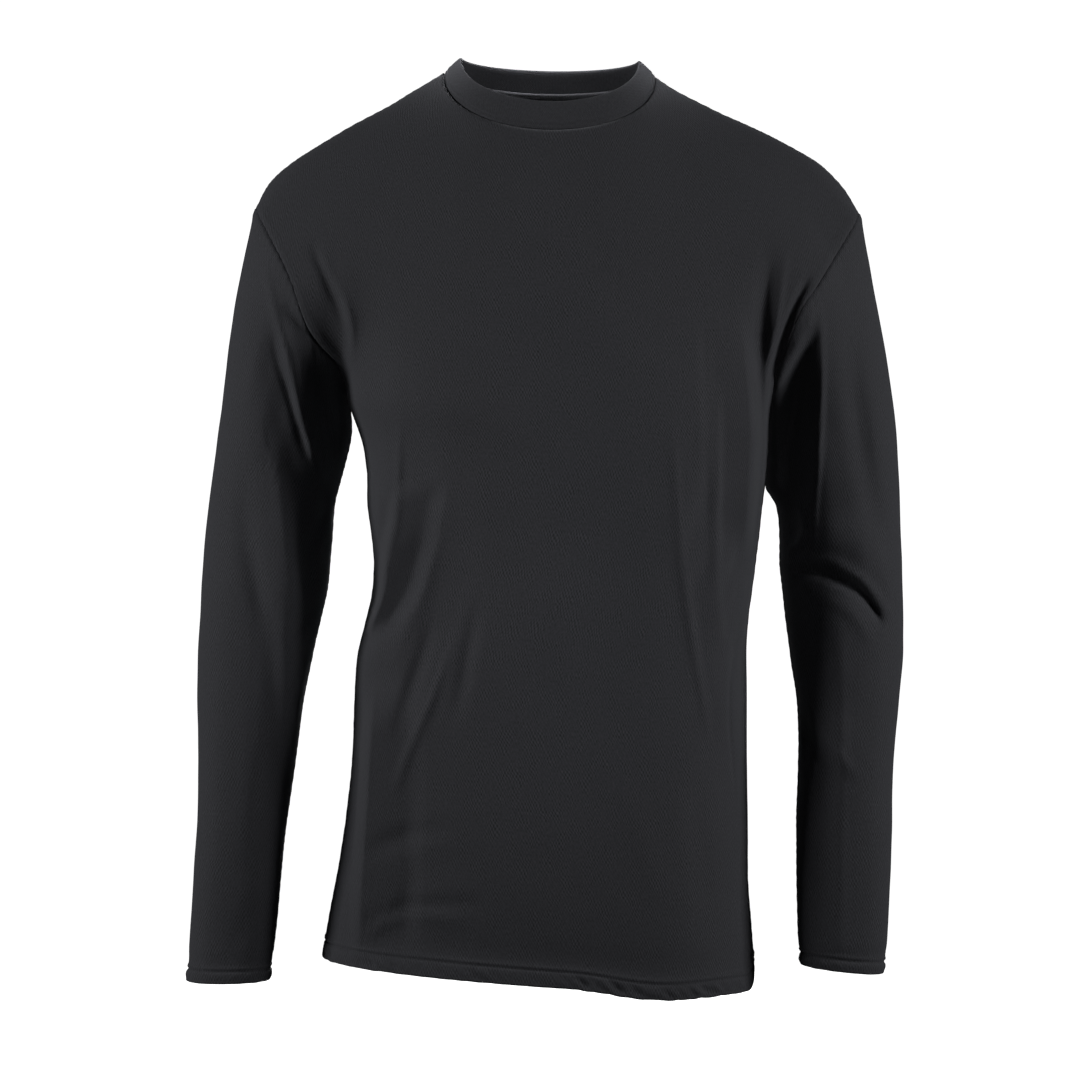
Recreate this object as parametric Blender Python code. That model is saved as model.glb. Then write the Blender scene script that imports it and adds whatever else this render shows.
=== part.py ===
"""A long-sleeved crew-neck base layer top: front, back, two sleeves and a collar band.

It is hollow, filled out as when worn, and open at the neck, the cuffs and the hem. Metres, +Z up,
front towards -Y, the wearer's left towards +X. The origin is the middle of the neck base, level
with the top of the left shoulder seam, where the wearer's shoulders hold the top.
"""

import math
from collections import namedtuple

import bmesh
import bpy
import numpy as np

COLLECTION = "base_layer_top"
FRONT, BACK = -1, 1
RIGHT, LEFT = -1, 1

# Cloth, seams and turned edges.
CLOTH = 0.0015
TURNED_CLOTH = 0.0026
HEM_DEPTH = 0.013
CUFF_DEPTH = 0.009
TURN_STEP = 0.0012
TURN_RISE = 0.0003
TURNED_ROWS = 2
SEAM_GAP = 0.0003
SEAM_SLANT = 0.0011

# How finely the pieces are laid out: columns across a panel, rows up it, points round a sleeve.
COLUMNS = 28
NECK_COLUMNS = 12
LOWER_ROWS = 19
UPPER_ROWS = 12
SLEEVE_RINGS = 22
SLEEVE_POINTS = 2 * UPPER_ROWS
FINE = 97

# Body sections, from the hem to the underarm. Tilt is how far the right side seam stands above
# the left one, and turn is how far round to the front the left side seam sits, in degrees.
Section = namedtuple("Section", "level tilt right left front back turn")
BODY_SQUARENESS = 2.35
BODY_SECTIONS = (
    Section(-0.7245, 0.0260, -0.1847, 0.1650, -0.124, 0.116, 2),
    Section(-0.6530, 0.0150, -0.1722, 0.1612, -0.120, 0.110, 6),
    Section(-0.5720, 0.0060, -0.1612, 0.1597, -0.117, 0.105, 11),
    Section(-0.5100, 0.0020, -0.1580, 0.1588, -0.116, 0.102, 13),
    Section(-0.4690, 0.0000, -0.1556, 0.1588, -0.117, 0.101, 12),
    Section(-0.4300, 0.0000, -0.1455, 0.1622, -0.119, 0.102, 8),
    Section(-0.3920, 0.0000, -0.1424, 0.1668, -0.121, 0.105, 4),
    Section(-0.3490, 0.0020, -0.1475, 0.1718, -0.125, 0.111, 1),
    Section(-0.3087, 0.0080, -0.1500, 0.1764, -0.128, 0.116, 0),
    Section(-0.2766, 0.0152, -0.1620, 0.1769, -0.129, 0.119, 0),
)
HEM_DIP = 0.005
HEM_DIP_X = 0.085
HEM_DIP_HALF_WIDTH = 0.070
HEM_DIP_HEIGHT = 0.100

# Armholes, from the underarm up to the shoulder tip. Front and back are the y of the two halves.
Armhole = namedtuple("Armhole", "x z front back")
ARMHOLES = {
    RIGHT: (
        Armhole(-0.1620, -0.2690, 0.000, 0.000),
        Armhole(-0.1660, -0.2480, -0.033, 0.038),
        Armhole(-0.1745, -0.2310, -0.051, 0.057),
        Armhole(-0.1875, -0.2180, -0.060, 0.068),
        Armhole(-0.1985, -0.1940, -0.063, 0.072),
        Armhole(-0.2097, -0.1640, -0.054, 0.064),
        Armhole(-0.2260, -0.1325, -0.033, 0.040),
        Armhole(-0.2365, -0.1135, -0.014, 0.020),
        Armhole(-0.2393, -0.1090, 0.003, 0.003),
    ),
    LEFT: (
        Armhole(0.1769, -0.2842, 0.000, 0.000),
        Armhole(0.1785, -0.2630, -0.033, 0.036),
        Armhole(0.1812, -0.2430, -0.050, 0.055),
        Armhole(0.1880, -0.2240, -0.060, 0.067),
        Armhole(0.1990, -0.1970, -0.063, 0.072),
        Armhole(0.2136, -0.1740, -0.055, 0.065),
        Armhole(0.2325, -0.1440, -0.033, 0.040),
        Armhole(0.2487, -0.1182, -0.014, 0.020),
        Armhole(0.2520, -0.1130, 0.003, 0.003),
    ),
}

# Shoulder seams, from the neck out to the shoulder tips.
Shoulder = namedtuple("Shoulder", "right_x right_z left_x left_z y")
SHOULDER_SEAM = (
    Shoulder(-0.0868, 0.0030, 0.0868, 0.0000, 0.015),
    Shoulder(-0.1025, -0.0070, 0.1016, -0.0100, 0.014),
    Shoulder(-0.1220, -0.0198, 0.1215, -0.0215, 0.012),
    Shoulder(-0.1585, -0.0394, 0.1575, -0.0386, 0.010),
    Shoulder(-0.2038, -0.0673, 0.2030, -0.0622, 0.008),
    Shoulder(-0.2200, -0.0787, 0.2210, -0.0735, 0.007),
    Shoulder(-0.2337, -0.0965, 0.2400, -0.0930, 0.005),
    Shoulder(-0.2393, -0.1090, 0.2520, -0.1130, 0.003),
)

# Lines round the neck: the seam, and the collar's folded edge. Each runs between a right and a
# left end, reaches forward and back of them, and drops there below them.
NeckLine = namedtuple("NeckLine", "half_width end_y right_z left_z reach drop")
NECK_SEAM = NeckLine(
    0.0868, 0.015, 0.0030, 0.0000, {FRONT: 0.092, BACK: 0.046}, {FRONT: 0.0550, BACK: 0.0140}
)
COLLAR_RIM = NeckLine(
    0.0722, 0.012, 0.0152, 0.0128, {FRONT: 0.073, BACK: 0.038}, {FRONT: 0.0432, BACK: 0.0056}
)
NECK_FULLNESS = 0.95

# How the upper panels leave the underarm row and roll over to the shoulder and neck seams.
CHEST_RISE = 0.250
SHOULDER_RISE = 0.300
SHOULDER_ROLL = 0.150
NECK_ROLL = 0.170
NECK_SLOPES = {FRONT: (24, 56), BACK: (14, 60)}
NECK_TURN = 50
NECK_FADE = 0.25
ARMHOLE_SPREAD = 0.45
EASE = 1.5
UPPER_RELAX = 10

# Collar band, doubled and leaning in, with its folded edge on top.
BAND = 0.0030
BAND_FOLD = 0.0012
BAND_SEAM_EDGE = 0.0004
BAND_LIFT = 0.0005
BAND_BULGE = 0.0005
COLLAR_STEPS = 2

# Sleeve rings, from the armhole to the cuff, each an oval through its outer and inner edges.
Ring = namedtuple("Ring", "outer_x outer_z inner_x inner_z middle_y depth")
SLEEVE_SQUARENESS = 2.15
ARMHOLE_RINGS = 6
ARMHOLE_EASE = 1.6
SLEEVES = {
    RIGHT: (
        Ring(-0.2393, -0.1090, -0.1623, -0.2690, 0.004, 0.132),
        Ring(-0.2463, -0.1421, -0.1617, -0.2775, 0.006, 0.130),
        Ring(-0.2533, -0.1762, -0.1614, -0.2870, 0.007, 0.128),
        Ring(-0.2600, -0.2191, -0.1628, -0.2985, 0.008, 0.126),
        Ring(-0.2657, -0.2638, -0.1660, -0.3120, 0.008, 0.124),
        Ring(-0.2718, -0.3142, -0.1705, -0.3310, 0.006, 0.121),
        Ring(-0.2770, -0.3600, -0.1748, -0.3520, 0.003, 0.117),
        Ring(-0.2809, -0.4060, -0.1788, -0.4080, -0.002, 0.112),
        Ring(-0.2832, -0.4480, -0.1880, -0.4500, -0.007, 0.107),
        Ring(-0.2845, -0.4960, -0.1968, -0.4980, -0.014, 0.101),
        Ring(-0.2828, -0.5500, -0.2040, -0.5520, -0.022, 0.093),
        Ring(-0.2828, -0.6030, -0.2110, -0.6040, -0.029, 0.084),
        Ring(-0.2856, -0.6550, -0.2168, -0.6550, -0.034, 0.075),
        Ring(-0.2885, -0.7000, -0.2205, -0.7000, -0.038, 0.068),
        Ring(-0.2902, -0.7280, -0.2235, -0.7275, -0.041, 0.066),
    ),
    LEFT: (
        Ring(0.2520, -0.1130, 0.1772, -0.2842, 0.004, 0.132),
        Ring(0.2574, -0.1420, 0.1785, -0.2940, 0.009, 0.130),
        Ring(0.2640, -0.1740, 0.1780, -0.3050, 0.014, 0.128),
        Ring(0.2715, -0.2130, 0.1774, -0.3190, 0.018, 0.126),
        Ring(0.2782, -0.2560, 0.1758, -0.3330, 0.020, 0.124),
        Ring(0.2822, -0.3000, 0.1850, -0.3500, 0.018, 0.122),
        Ring(0.2840, -0.3480, 0.1870, -0.3700, 0.014, 0.119),
        Ring(0.2853, -0.3960, 0.1868, -0.4000, 0.009, 0.115),
        Ring(0.2856, -0.4370, 0.1908, -0.4380, 0.003, 0.110),
        Ring(0.2848, -0.4780, 0.1955, -0.4780, -0.004, 0.104),
        Ring(0.2808, -0.5180, 0.2003, -0.5180, -0.011, 0.097),
        Ring(0.2755, -0.5640, 0.1998, -0.5640, -0.019, 0.089),
        Ring(0.2734, -0.6140, 0.1976, -0.6140, -0.027, 0.081),
        Ring(0.2716, -0.6640, 0.1978, -0.6640, -0.034, 0.074),
        Ring(0.2695, -0.7030, 0.1985, -0.7000, -0.038, 0.069),
        Ring(0.2668, -0.7225, 0.2003, -0.7155, -0.040, 0.064),
    ),
}

# Folds: three places along each, how wide it is and how far it stands out (minus, sinks in).
# On the body a place is an x and a height; on a sleeve, degrees round from the outer edge, by way
# of the front, and a height.
Fold = namedtuple("Fold", "start middle end width height")
FOLD_POINTS = 25
FOLD_END = 0.15
FOLD_FULLNESS = 0.6
FOLD_ROWS_BELOW_TOP = 4
FOLD_RINGS_BELOW_ARMHOLE = 3
FOLD_SIDE_FADE = 6
BODY_FOLDS = {
    FRONT: (
        Fold((-0.094, -0.362), (-0.113, -0.429), (-0.147, -0.495), 0.014, 0.0060),
        Fold((-0.105, -0.346), (-0.122, -0.394), (-0.143, -0.425), 0.012, -0.0055),
        Fold((-0.098, -0.456), (-0.114, -0.535), (-0.138, -0.605), 0.016, 0.0040),
        Fold((-0.078, -0.417), (-0.086, -0.456), (-0.094, -0.503), 0.014, -0.0030),
        Fold((-0.183, -0.180), (-0.173, -0.212), (-0.165, -0.240), 0.012, -0.0060),
        Fold((-0.165, -0.172), (-0.158, -0.205), (-0.156, -0.247), 0.010, 0.0035),
        Fold((-0.122, -0.284), (-0.126, -0.331), (-0.132, -0.378), 0.012, 0.0030),
        Fold((-0.150, -0.620), (-0.120, -0.640), (-0.080, -0.640), 0.018, -0.0030),
        Fold((0.102, -0.303), (0.110, -0.400), (0.128, -0.524), 0.009, 0.0030),
        Fold((0.131, -0.274), (0.134, -0.451), (0.146, -0.556), 0.010, 0.0035),
        Fold((0.173, -0.149), (0.169, -0.206), (0.164, -0.276), 0.010, -0.0055),
        Fold((0.184, -0.180), (0.178, -0.230), (0.173, -0.290), 0.009, 0.0035),
    ),
    BACK: (
        Fold((-0.120, -0.300), (-0.105, -0.380), (-0.070, -0.450), 0.016, 0.0050),
        Fold((-0.140, -0.350), (-0.125, -0.440), (-0.095, -0.530), 0.016, -0.0045),
        Fold((0.125, -0.290), (0.112, -0.390), (0.080, -0.470), 0.015, 0.0050),
        Fold((0.145, -0.360), (0.128, -0.450), (0.105, -0.560), 0.017, -0.0045),
        Fold((-0.020, -0.380), (-0.010, -0.460), (0.015, -0.550), 0.020, -0.0035),
        Fold((0.050, -0.430), (0.045, -0.520), (0.060, -0.620), 0.018, 0.0035),
        Fold((-0.172, -0.170), (-0.160, -0.215), (-0.152, -0.260), 0.013, -0.0055),
        Fold((0.180, -0.165), (0.168, -0.215), (0.162, -0.270), 0.013, -0.0055),
    ),
}
SLEEVE_RADIUS = 0.052
SLEEVE_FOLDS = {
    RIGHT: (
        Fold((58, -0.160), (96, -0.240), (125, -0.320), 0.009, 0.0035),
        Fold((70, -0.200), (88, -0.265), (112, -0.315), 0.011, -0.0050),
        Fold((150, -0.330), (135, -0.400), (140, -0.470), 0.012, -0.0035),
        Fold((230, -0.380), (270, -0.405), (310, -0.420), 0.011, -0.0045),
        Fold((225, -0.430), (265, -0.450), (300, -0.460), 0.011, -0.0040),
    ),
    LEFT: (
        Fold((130, -0.396), (90, -0.405), (50, -0.428), 0.009, -0.0055),
        Fold((118, -0.372), (85, -0.382), (55, -0.400), 0.011, 0.0040),
        Fold((141, -0.505), (119, -0.525), (80, -0.552), 0.009, 0.0040),
        Fold((150, -0.530), (135, -0.550), (110, -0.575), 0.011, -0.0040),
        Fold((120, -0.215), (125, -0.270), (130, -0.340), 0.014, -0.0060),
        Fold((230, -0.400), (270, -0.425), (315, -0.440), 0.011, -0.0045),
        Fold((225, -0.450), (265, -0.470), (300, -0.480), 0.011, -0.0040),
    ),
}

# Dark charcoal knit, linear colour; the collar is the same yarn in a finer rib.
KNIT_COLOUR = (0.0215, 0.0220, 0.0250, 1.0)
KNIT_ROUGHNESS = 0.85


def smooth(knots, values, at):
    """Values between knots, read off a smooth curve through all of them."""
    knots, values, at = np.asarray(knots, float), np.asarray(values, float), np.asarray(at, float)
    slopes = np.gradient(values, knots, axis=0)
    index = np.clip(np.searchsorted(knots, at, side="right") - 1, 0, len(knots) - 2)
    span = (knots[index + 1] - knots[index])[:, None]
    t = (at - knots[index])[:, None] / span
    return (
        (2 * t**3 - 3 * t**2 + 1) * values[index]
        + (t**3 - 2 * t**2 + t) * span * slopes[index]
        + (3 * t**2 - 2 * t**3) * values[index + 1]
        + (t**3 - t**2) * span * slopes[index + 1]
    )


def along(points):
    """How far each point is along its line, as a share of the line's length."""
    steps = np.linalg.norm(np.diff(points, axis=0), axis=1)
    return np.concatenate([[0.0], np.cumsum(steps)]) / steps.sum()


def evenly(points, count):
    """The line through the points, as this many points evenly apart."""
    at = np.linspace(0, 1, count)
    return np.stack([np.interp(at, along(points), axis) for axis in points.T], axis=1)


def smooth_line(points, count):
    """A smooth line through a few points, as this many points evenly apart."""
    points = np.asarray(points, float)
    return evenly(smooth(along(points), points, np.linspace(0, 1, FINE)), count)


def unit(vectors):
    return vectors / np.linalg.norm(vectors, axis=-1, keepdims=True)


def squared(wave, squareness):
    """A sine or cosine turned into an oval's, squarer than a circle's where squareness is over 2."""
    return np.sign(wave) * np.abs(wave) ** (2 / squareness)


def fold_height(first, second, folds):
    """How far the folds move the cloth out, at points given by two coordinates in metres."""
    total = np.zeros_like(first)
    for fold in folds:
        places = [fold.start, fold.middle, fold.end]
        line = smooth(range(len(places)), places, np.linspace(0, len(places) - 1, FOLD_POINTS))
        share = np.sin(np.linspace(FOLD_END, math.pi - FOLD_END, FOLD_POINTS)) ** FOLD_FULLNESS
        away = np.hypot(first[..., None] - line[:, 0], second[..., None] - line[:, 1])
        total += fold.height * np.max(share * np.exp(-((away / fold.width) ** 2)), axis=-1)
    return total


def normals(points, closed, facing):
    """Unit normals of a grid of points; facing is 1 or -1, to turn them outwards."""
    if closed:
        across = np.roll(points, -1, axis=1) - np.roll(points, 1, axis=1)
    else:
        across = np.gradient(points, axis=1)
    return facing * unit(np.cross(across, np.gradient(points, axis=0)))


def inward(edge, beside):
    """Unit directions from an edge towards the row beside it, square to the edge."""
    run = unit(np.gradient(edge, axis=0))
    step = beside - edge
    return unit(step - run * np.sum(step * run, axis=1, keepdims=True))


def draw_back(points, distance, closed):
    """Moves the edges of a grid of points back from its seams."""
    for edge, beside in ((0, 1), (-1, -2)):
        points[edge] += distance * inward(points[edge], points[beside])
        if not closed:
            points[:, edge] += distance * inward(points[:, edge], points[:, beside])


def relax(points, passes):
    """Evens out the rows inside a grid of points, most in the middle and least by its ends."""
    share = np.sin(np.linspace(0, math.pi, len(points)))[1:-1, None, None] / 2
    for _ in range(passes):
        beside = (points[1:-1, :-2] + points[1:-1, 2:]) / 2
        points[1:-1, 1:-1] += share * (beside - points[1:-1, 1:-1])


def inner_face(outer, normal, thickness, closed):
    """The wall's inner points, with its edges slanted back from the seams."""
    inner = outer - normal * thickness
    draw_back(inner, SEAM_SLANT, closed)
    return inner


def body_row(level, side):
    """One row across a body panel, from the right side seam to the left one."""
    table = np.array(BODY_SECTIONS)
    _, tilt, right, left, front, back, turn = smooth(table[:, 0], table, [level])[0]
    angle = np.linspace(side * math.pi, -math.radians(turn), FINE)
    middle, half = (right + left) / 2, (left - right) / 2
    x = middle + half * squared(np.cos(angle), BODY_SQUARENESS)
    depth = np.where(np.sin(angle) < 0, -front, back)
    y = depth * squared(np.sin(angle), BODY_SQUARENESS)
    z = level - tilt * (x - middle) / (2 * half)
    if side == FRONT:
        near = np.clip(1 - np.abs(x - HEM_DIP_X) / HEM_DIP_HALF_WIDTH, 0, 1)
        low = np.clip(1 - (level - BODY_SECTIONS[0].level) / HEM_DIP_HEIGHT, 0, 1)
        z -= HEM_DIP * np.sin(near * math.pi / 2) ** 2 * low
    return evenly(np.stack([x, y, z], axis=1), COLUMNS + 1)


def armhole_edge(arm, side):
    """One half of an armhole, from the underarm up to the shoulder tip."""
    places = [(row.x, row.front if side == FRONT else row.back, row.z) for row in ARMHOLES[arm]]
    return smooth_line(places, UPPER_ROWS + 1)


def neck_line(line, side, count):
    """The front or back half of a line round the neck, from the right shoulder to the left one."""
    angle = np.linspace(math.pi, 0, FINE)
    deep = np.abs(np.sin(angle))
    x = line.half_width * np.cos(angle)
    y = line.end_y + side * line.reach[side] * deep
    ends = np.interp(x, [-line.half_width, line.half_width], [line.right_z, line.left_z])
    z = ends - line.drop[side] * deep**NECK_FULLNESS
    return evenly(np.stack([x, y, z], axis=1), count)


def top_edge(side):
    """A body panel's top: right shoulder seam, neck seam, left shoulder seam."""
    count = (COLUMNS - NECK_COLUMNS) // 2 + 1
    right = smooth_line([(row.right_x, row.y, row.right_z) for row in SHOULDER_SEAM], count)
    left = smooth_line([(row.left_x, row.y, row.left_z) for row in SHOULDER_SEAM], count)
    return np.concatenate([right[:0:-1], neck_line(NECK_SEAM, side, NECK_COLUMNS + 1), left[1:]])


def upper_rows(bottom, side):
    """Rows from the underarm to the shoulders, rolled over the chest or the shoulder blades."""
    top = top_edge(side)
    place = np.linspace(-1, 1, COLUMNS + 1)[:, None]
    neck_share = NECK_COLUMNS / COLUMNS
    out = np.abs(place) / neck_share
    to_neck = (1 - np.clip(out, 0, 1) ** 2) ** EASE
    by_neck = np.clip(1 - (out - 1) * neck_share / NECK_FADE, 0, 1)
    flat = np.zeros_like(place)
    leave = np.hstack([flat, flat, SHOULDER_RISE + (CHEST_RISE - SHOULDER_RISE) * to_neck])
    corner, middle = NECK_SLOPES[side]
    slope = np.radians(corner * by_neck + (middle - corner) * to_neck)
    turn = -np.sign(place) * math.radians(NECK_TURN) * by_neck * np.clip(out, 0, 1) ** EASE
    roll = SHOULDER_ROLL + (NECK_ROLL - SHOULDER_ROLL) * to_neck
    plan = np.cos(slope)
    arrive = roll * np.hstack([plan * np.sin(turn), -side * plan * np.cos(turn), np.sin(slope)])
    rows = []
    for step in range(1, UPPER_ROWS + 1):
        t = step / UPPER_ROWS
        row = (
            (2 * t**3 - 3 * t**2 + 1) * bottom
            + (t**3 - 2 * t**2 + t) * leave
            + (3 * t**2 - 2 * t**3) * top
            + (t**3 - t**2) * arrive
        )
        shift = np.zeros_like(row)
        for arm, end in ((RIGHT, 0), (LEFT, -1)):
            near = np.clip((arm * place - ARMHOLE_SPREAD) / (1 - ARMHOLE_SPREAD), 0, 1) ** EASE
            shift += near * (armhole_edge(arm, side)[step] - row[end])
        rows.append(row + shift)
    upper = np.stack([bottom] + rows)
    relax(upper, UPPER_RELAX)
    return list(upper[1:])


def body_panel(side):
    """Outer and inner points of the front or back panel, rows up from the hem."""
    hem, underarm = BODY_SECTIONS[0].level, BODY_SECTIONS[-1].level
    levels = [hem, hem + HEM_DEPTH - TURN_STEP]
    levels += list(np.linspace(hem + HEM_DEPTH, underarm, LOWER_ROWS))
    lower = [body_row(level, side) for level in levels]
    plain = np.stack(lower + upper_rows(lower[-1], side))
    normal = normals(plain, False, -side)
    height = fold_height(plain[..., 0], plain[..., 2], BODY_FOLDS[side])
    below_top = np.arange(len(plain))[::-1, None]
    height *= np.clip(below_top / FOLD_ROWS_BELOW_TOP, 0, 1)
    height[:TURNED_ROWS] += TURN_RISE
    height *= 1 - np.linspace(-1, 1, COLUMNS + 1) ** FOLD_SIDE_FADE
    outer = plain + normal * height[..., None]
    draw_back(outer, SEAM_GAP / 2, False)
    thickness = np.full(plain.shape[:2] + (1,), CLOTH)
    thickness[:TURNED_ROWS] = TURNED_CLOTH
    return outer, inner_face(outer, normals(outer, False, -side), thickness, False)


def sleeve_rings(arm):
    """The sleeve's ovals from armhole to cuff, before the armhole's own line is blended in."""
    table = np.array(SLEEVES[arm])
    last = len(table) - 1
    edge = np.linalg.norm(table[-1, :2] - table[-2, :2])
    turn = last - CUFF_DEPTH / edge
    at = list(np.linspace(0, turn, SLEEVE_RINGS)) + [turn + TURN_STEP / edge, last]
    rows = smooth(np.arange(last + 1), table, at)[:, None, :]
    angle = np.linspace(0, 2 * math.pi, SLEEVE_POINTS, endpoint=False)
    wide, deep = squared(np.cos(angle), SLEEVE_SQUARENESS), squared(np.sin(angle), SLEEVE_SQUARENESS)
    x = (rows[..., 0] + rows[..., 2]) / 2 + (rows[..., 0] - rows[..., 2]) / 2 * wide
    z = (rows[..., 1] + rows[..., 3]) / 2 + (rows[..., 1] - rows[..., 3]) / 2 * wide
    y = rows[..., 4] - rows[..., 5] / 2 * deep
    return np.stack([x, y, z], axis=-1)


def armhole_ring(arm, panels):
    """The armhole's points on the body, from the shoulder tip by way of the front, and a gap off."""
    end = 0 if arm == RIGHT else -1
    front, back = (panels[side][0][-UPPER_ROWS - 1 :, end] for side in (FRONT, BACK))
    ring = np.concatenate([front[::-1], back[1:-1]])
    tip, underarm = front[-1], front[0]
    away = unit(arm * np.cross((0, 1, 0), tip - underarm))
    return ring + SEAM_GAP * away


def sleeve_panel(arm, panels):
    """Outer and inner points of one sleeve, rings down from the armhole."""
    ovals = sleeve_rings(arm)
    left_over = np.clip(1 - np.arange(len(ovals)) / ARMHOLE_RINGS, 0, 1) ** ARMHOLE_EASE
    plain = ovals + left_over[:, None, None] * (armhole_ring(arm, panels) - ovals[0])
    degrees = np.linspace(0, 360, SLEEVE_POINTS, endpoint=False)
    round_it = np.broadcast_to(np.radians(degrees) * SLEEVE_RADIUS, plain.shape[:2])
    folds = [
        fold._replace(
            start=(math.radians(fold.start[0]) * SLEEVE_RADIUS, fold.start[1]),
            middle=(math.radians(fold.middle[0]) * SLEEVE_RADIUS, fold.middle[1]),
            end=(math.radians(fold.end[0]) * SLEEVE_RADIUS, fold.end[1]),
        )
        for fold in SLEEVE_FOLDS[arm]
    ]
    height = fold_height(round_it, plain[..., 2], folds)
    height *= np.clip(np.arange(len(plain)) / FOLD_RINGS_BELOW_ARMHOLE, 0, 1)[:, None]
    height[-TURNED_ROWS:] += TURN_RISE
    outer = plain + normals(plain, True, arm) * height[..., None]
    thickness = np.full(plain.shape[:2] + (1,), CLOTH)
    thickness[-TURNED_ROWS:] = TURNED_CLOTH
    return outer, inner_face(outer, normals(outer, True, arm), thickness, True)


def neck_loop(panels):
    """The neck seam midway through the body's wall, once round from the left shoulder seam."""
    start = (COLUMNS - NECK_COLUMNS) // 2
    neck = slice(start, start + NECK_COLUMNS + 1)
    front, back = (
        (outer - normals(outer, False, -side) * CLOTH / 2)[-1, neck]
        for side, (outer, _) in panels.items()
    )
    corners = np.concatenate([front[::-1], back[1:]])
    at = np.arange(2 * NECK_COLUMNS * COLLAR_STEPS) / COLLAR_STEPS
    return np.stack([np.interp(at, np.arange(len(corners)), axis) for axis in corners.T], axis=1)


def collar_rings(panels):
    """The collar band's profile at each place round the neck, as a grid closed both ways."""
    seam = neck_loop(panels)
    count = NECK_COLUMNS * COLLAR_STEPS + 1
    front, back = (neck_line(COLLAR_RIM, side, count) for side in (FRONT, BACK))
    rim = np.concatenate([front[::-1], back[1:-1]])
    rise = unit(rim - seam)
    height = np.linalg.norm(rim - seam, axis=1, keepdims=True)
    round_it = np.roll(rim, -1, axis=0) - np.roll(rim, 1, axis=0)
    out = unit(np.cross(rise, round_it))
    half, fold, edge = BAND / 2, BAND_FOLD / 2, BAND_SEAM_EDGE / 2
    profile = (
        (BAND_LIFT, edge),
        (BAND_LIFT + half, half),
        (height / 2, half + BAND_BULGE),
        (height - fold, half),
        (height, fold / 2),
        (height, -fold / 2),
        (height - fold, -half),
        (height / 2, BAND_BULGE - half),
        (BAND_LIFT + half, -half),
        (BAND_LIFT, -edge),
    )
    return np.stack([seam + rise * up + out * off for up, off in profile])


def add_quad(bm, corners):
    """Two triangles over four corners, always split the same way."""
    first, second, third, fourth = corners
    bm.faces.new((first, second, third))
    bm.faces.new((first, third, fourth))


def strip(bm, lower, upper, closed):
    """Quads between two matching lines of vertices."""
    count = len(lower) if closed else len(lower) - 1
    for index in range(count):
        following = (index + 1) % len(lower)
        add_quad(bm, (lower[index], lower[following], upper[following], upper[index]))


def add_object(bm, name):
    """Finishes the mesh as a piece of the top, with its own knit material."""
    bmesh.ops.recalc_face_normals(bm, faces=bm.faces)
    mesh = bpy.data.meshes.new(name)
    bm.to_mesh(mesh)
    bm.free()
    mesh.shade_smooth()
    material = bpy.data.materials.new(f"{name}_knit")
    material.use_nodes = True
    shader = material.node_tree.nodes["Principled BSDF"]
    shader.inputs["Base Color"].default_value = KNIT_COLOUR
    shader.inputs["Roughness"].default_value = KNIT_ROUGHNESS
    shader.inputs["Metallic"].default_value = 0.0
    mesh.materials.append(material)
    piece = bpy.data.objects.new(name, mesh)
    bpy.data.collections[COLLECTION].objects.link(piece)
    return piece


def build_wall(name, faces, closed):
    """One piece of cloth: its outer and inner faces, with its edges closed between them."""
    bm = bmesh.new()
    outer, inner = ([[bm.verts.new(point) for point in row] for row in face] for face in faces)
    for face in (outer, inner):
        for lower, upper in zip(face, face[1:]):
            strip(bm, lower, upper, closed)
    for row in (0, -1):
        strip(bm, outer[row], inner[row], closed)
    if not closed:
        for column in (0, -1):
            strip(bm, [row[column] for row in outer], [row[column] for row in inner], False)
    return add_object(bm, name)


def build_collar(panels):
    """The collar band, a doubled strip closed into a ring."""
    bm = bmesh.new()
    rings = [[bm.verts.new(point) for point in ring] for ring in collar_rings(panels)]
    for lower, upper in zip(rings, rings[1:] + rings[:1]):
        strip(bm, lower, upper, True)
    return add_object(bm, "collar")


def main():
    for item in list(bpy.data.objects):
        bpy.data.objects.remove(item, do_unlink=True)
    bpy.context.scene.collection.children.link(bpy.data.collections.new(COLLECTION))
    panels = {side: body_panel(side) for side in (FRONT, BACK)}
    build_wall("front", panels[FRONT], False)
    build_wall("back", panels[BACK], False)
    build_wall("sleeve_right", sleeve_panel(RIGHT, panels), True)
    build_wall("sleeve_left", sleeve_panel(LEFT, panels), True)
    build_collar(panels)


if __name__ == "__main__":
    main()
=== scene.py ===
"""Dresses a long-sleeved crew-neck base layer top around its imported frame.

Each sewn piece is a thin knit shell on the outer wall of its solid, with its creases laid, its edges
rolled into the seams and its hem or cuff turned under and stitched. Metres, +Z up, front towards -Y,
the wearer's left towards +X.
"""

import logging
import math
from dataclasses import dataclass, field
from enum import Enum
from typing import Any, Sequence

import bmesh
import bpy
import numpy as np
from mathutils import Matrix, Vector, noise
from mathutils.bvhtree import BVHTree
from mathutils.kdtree import KDTree


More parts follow.
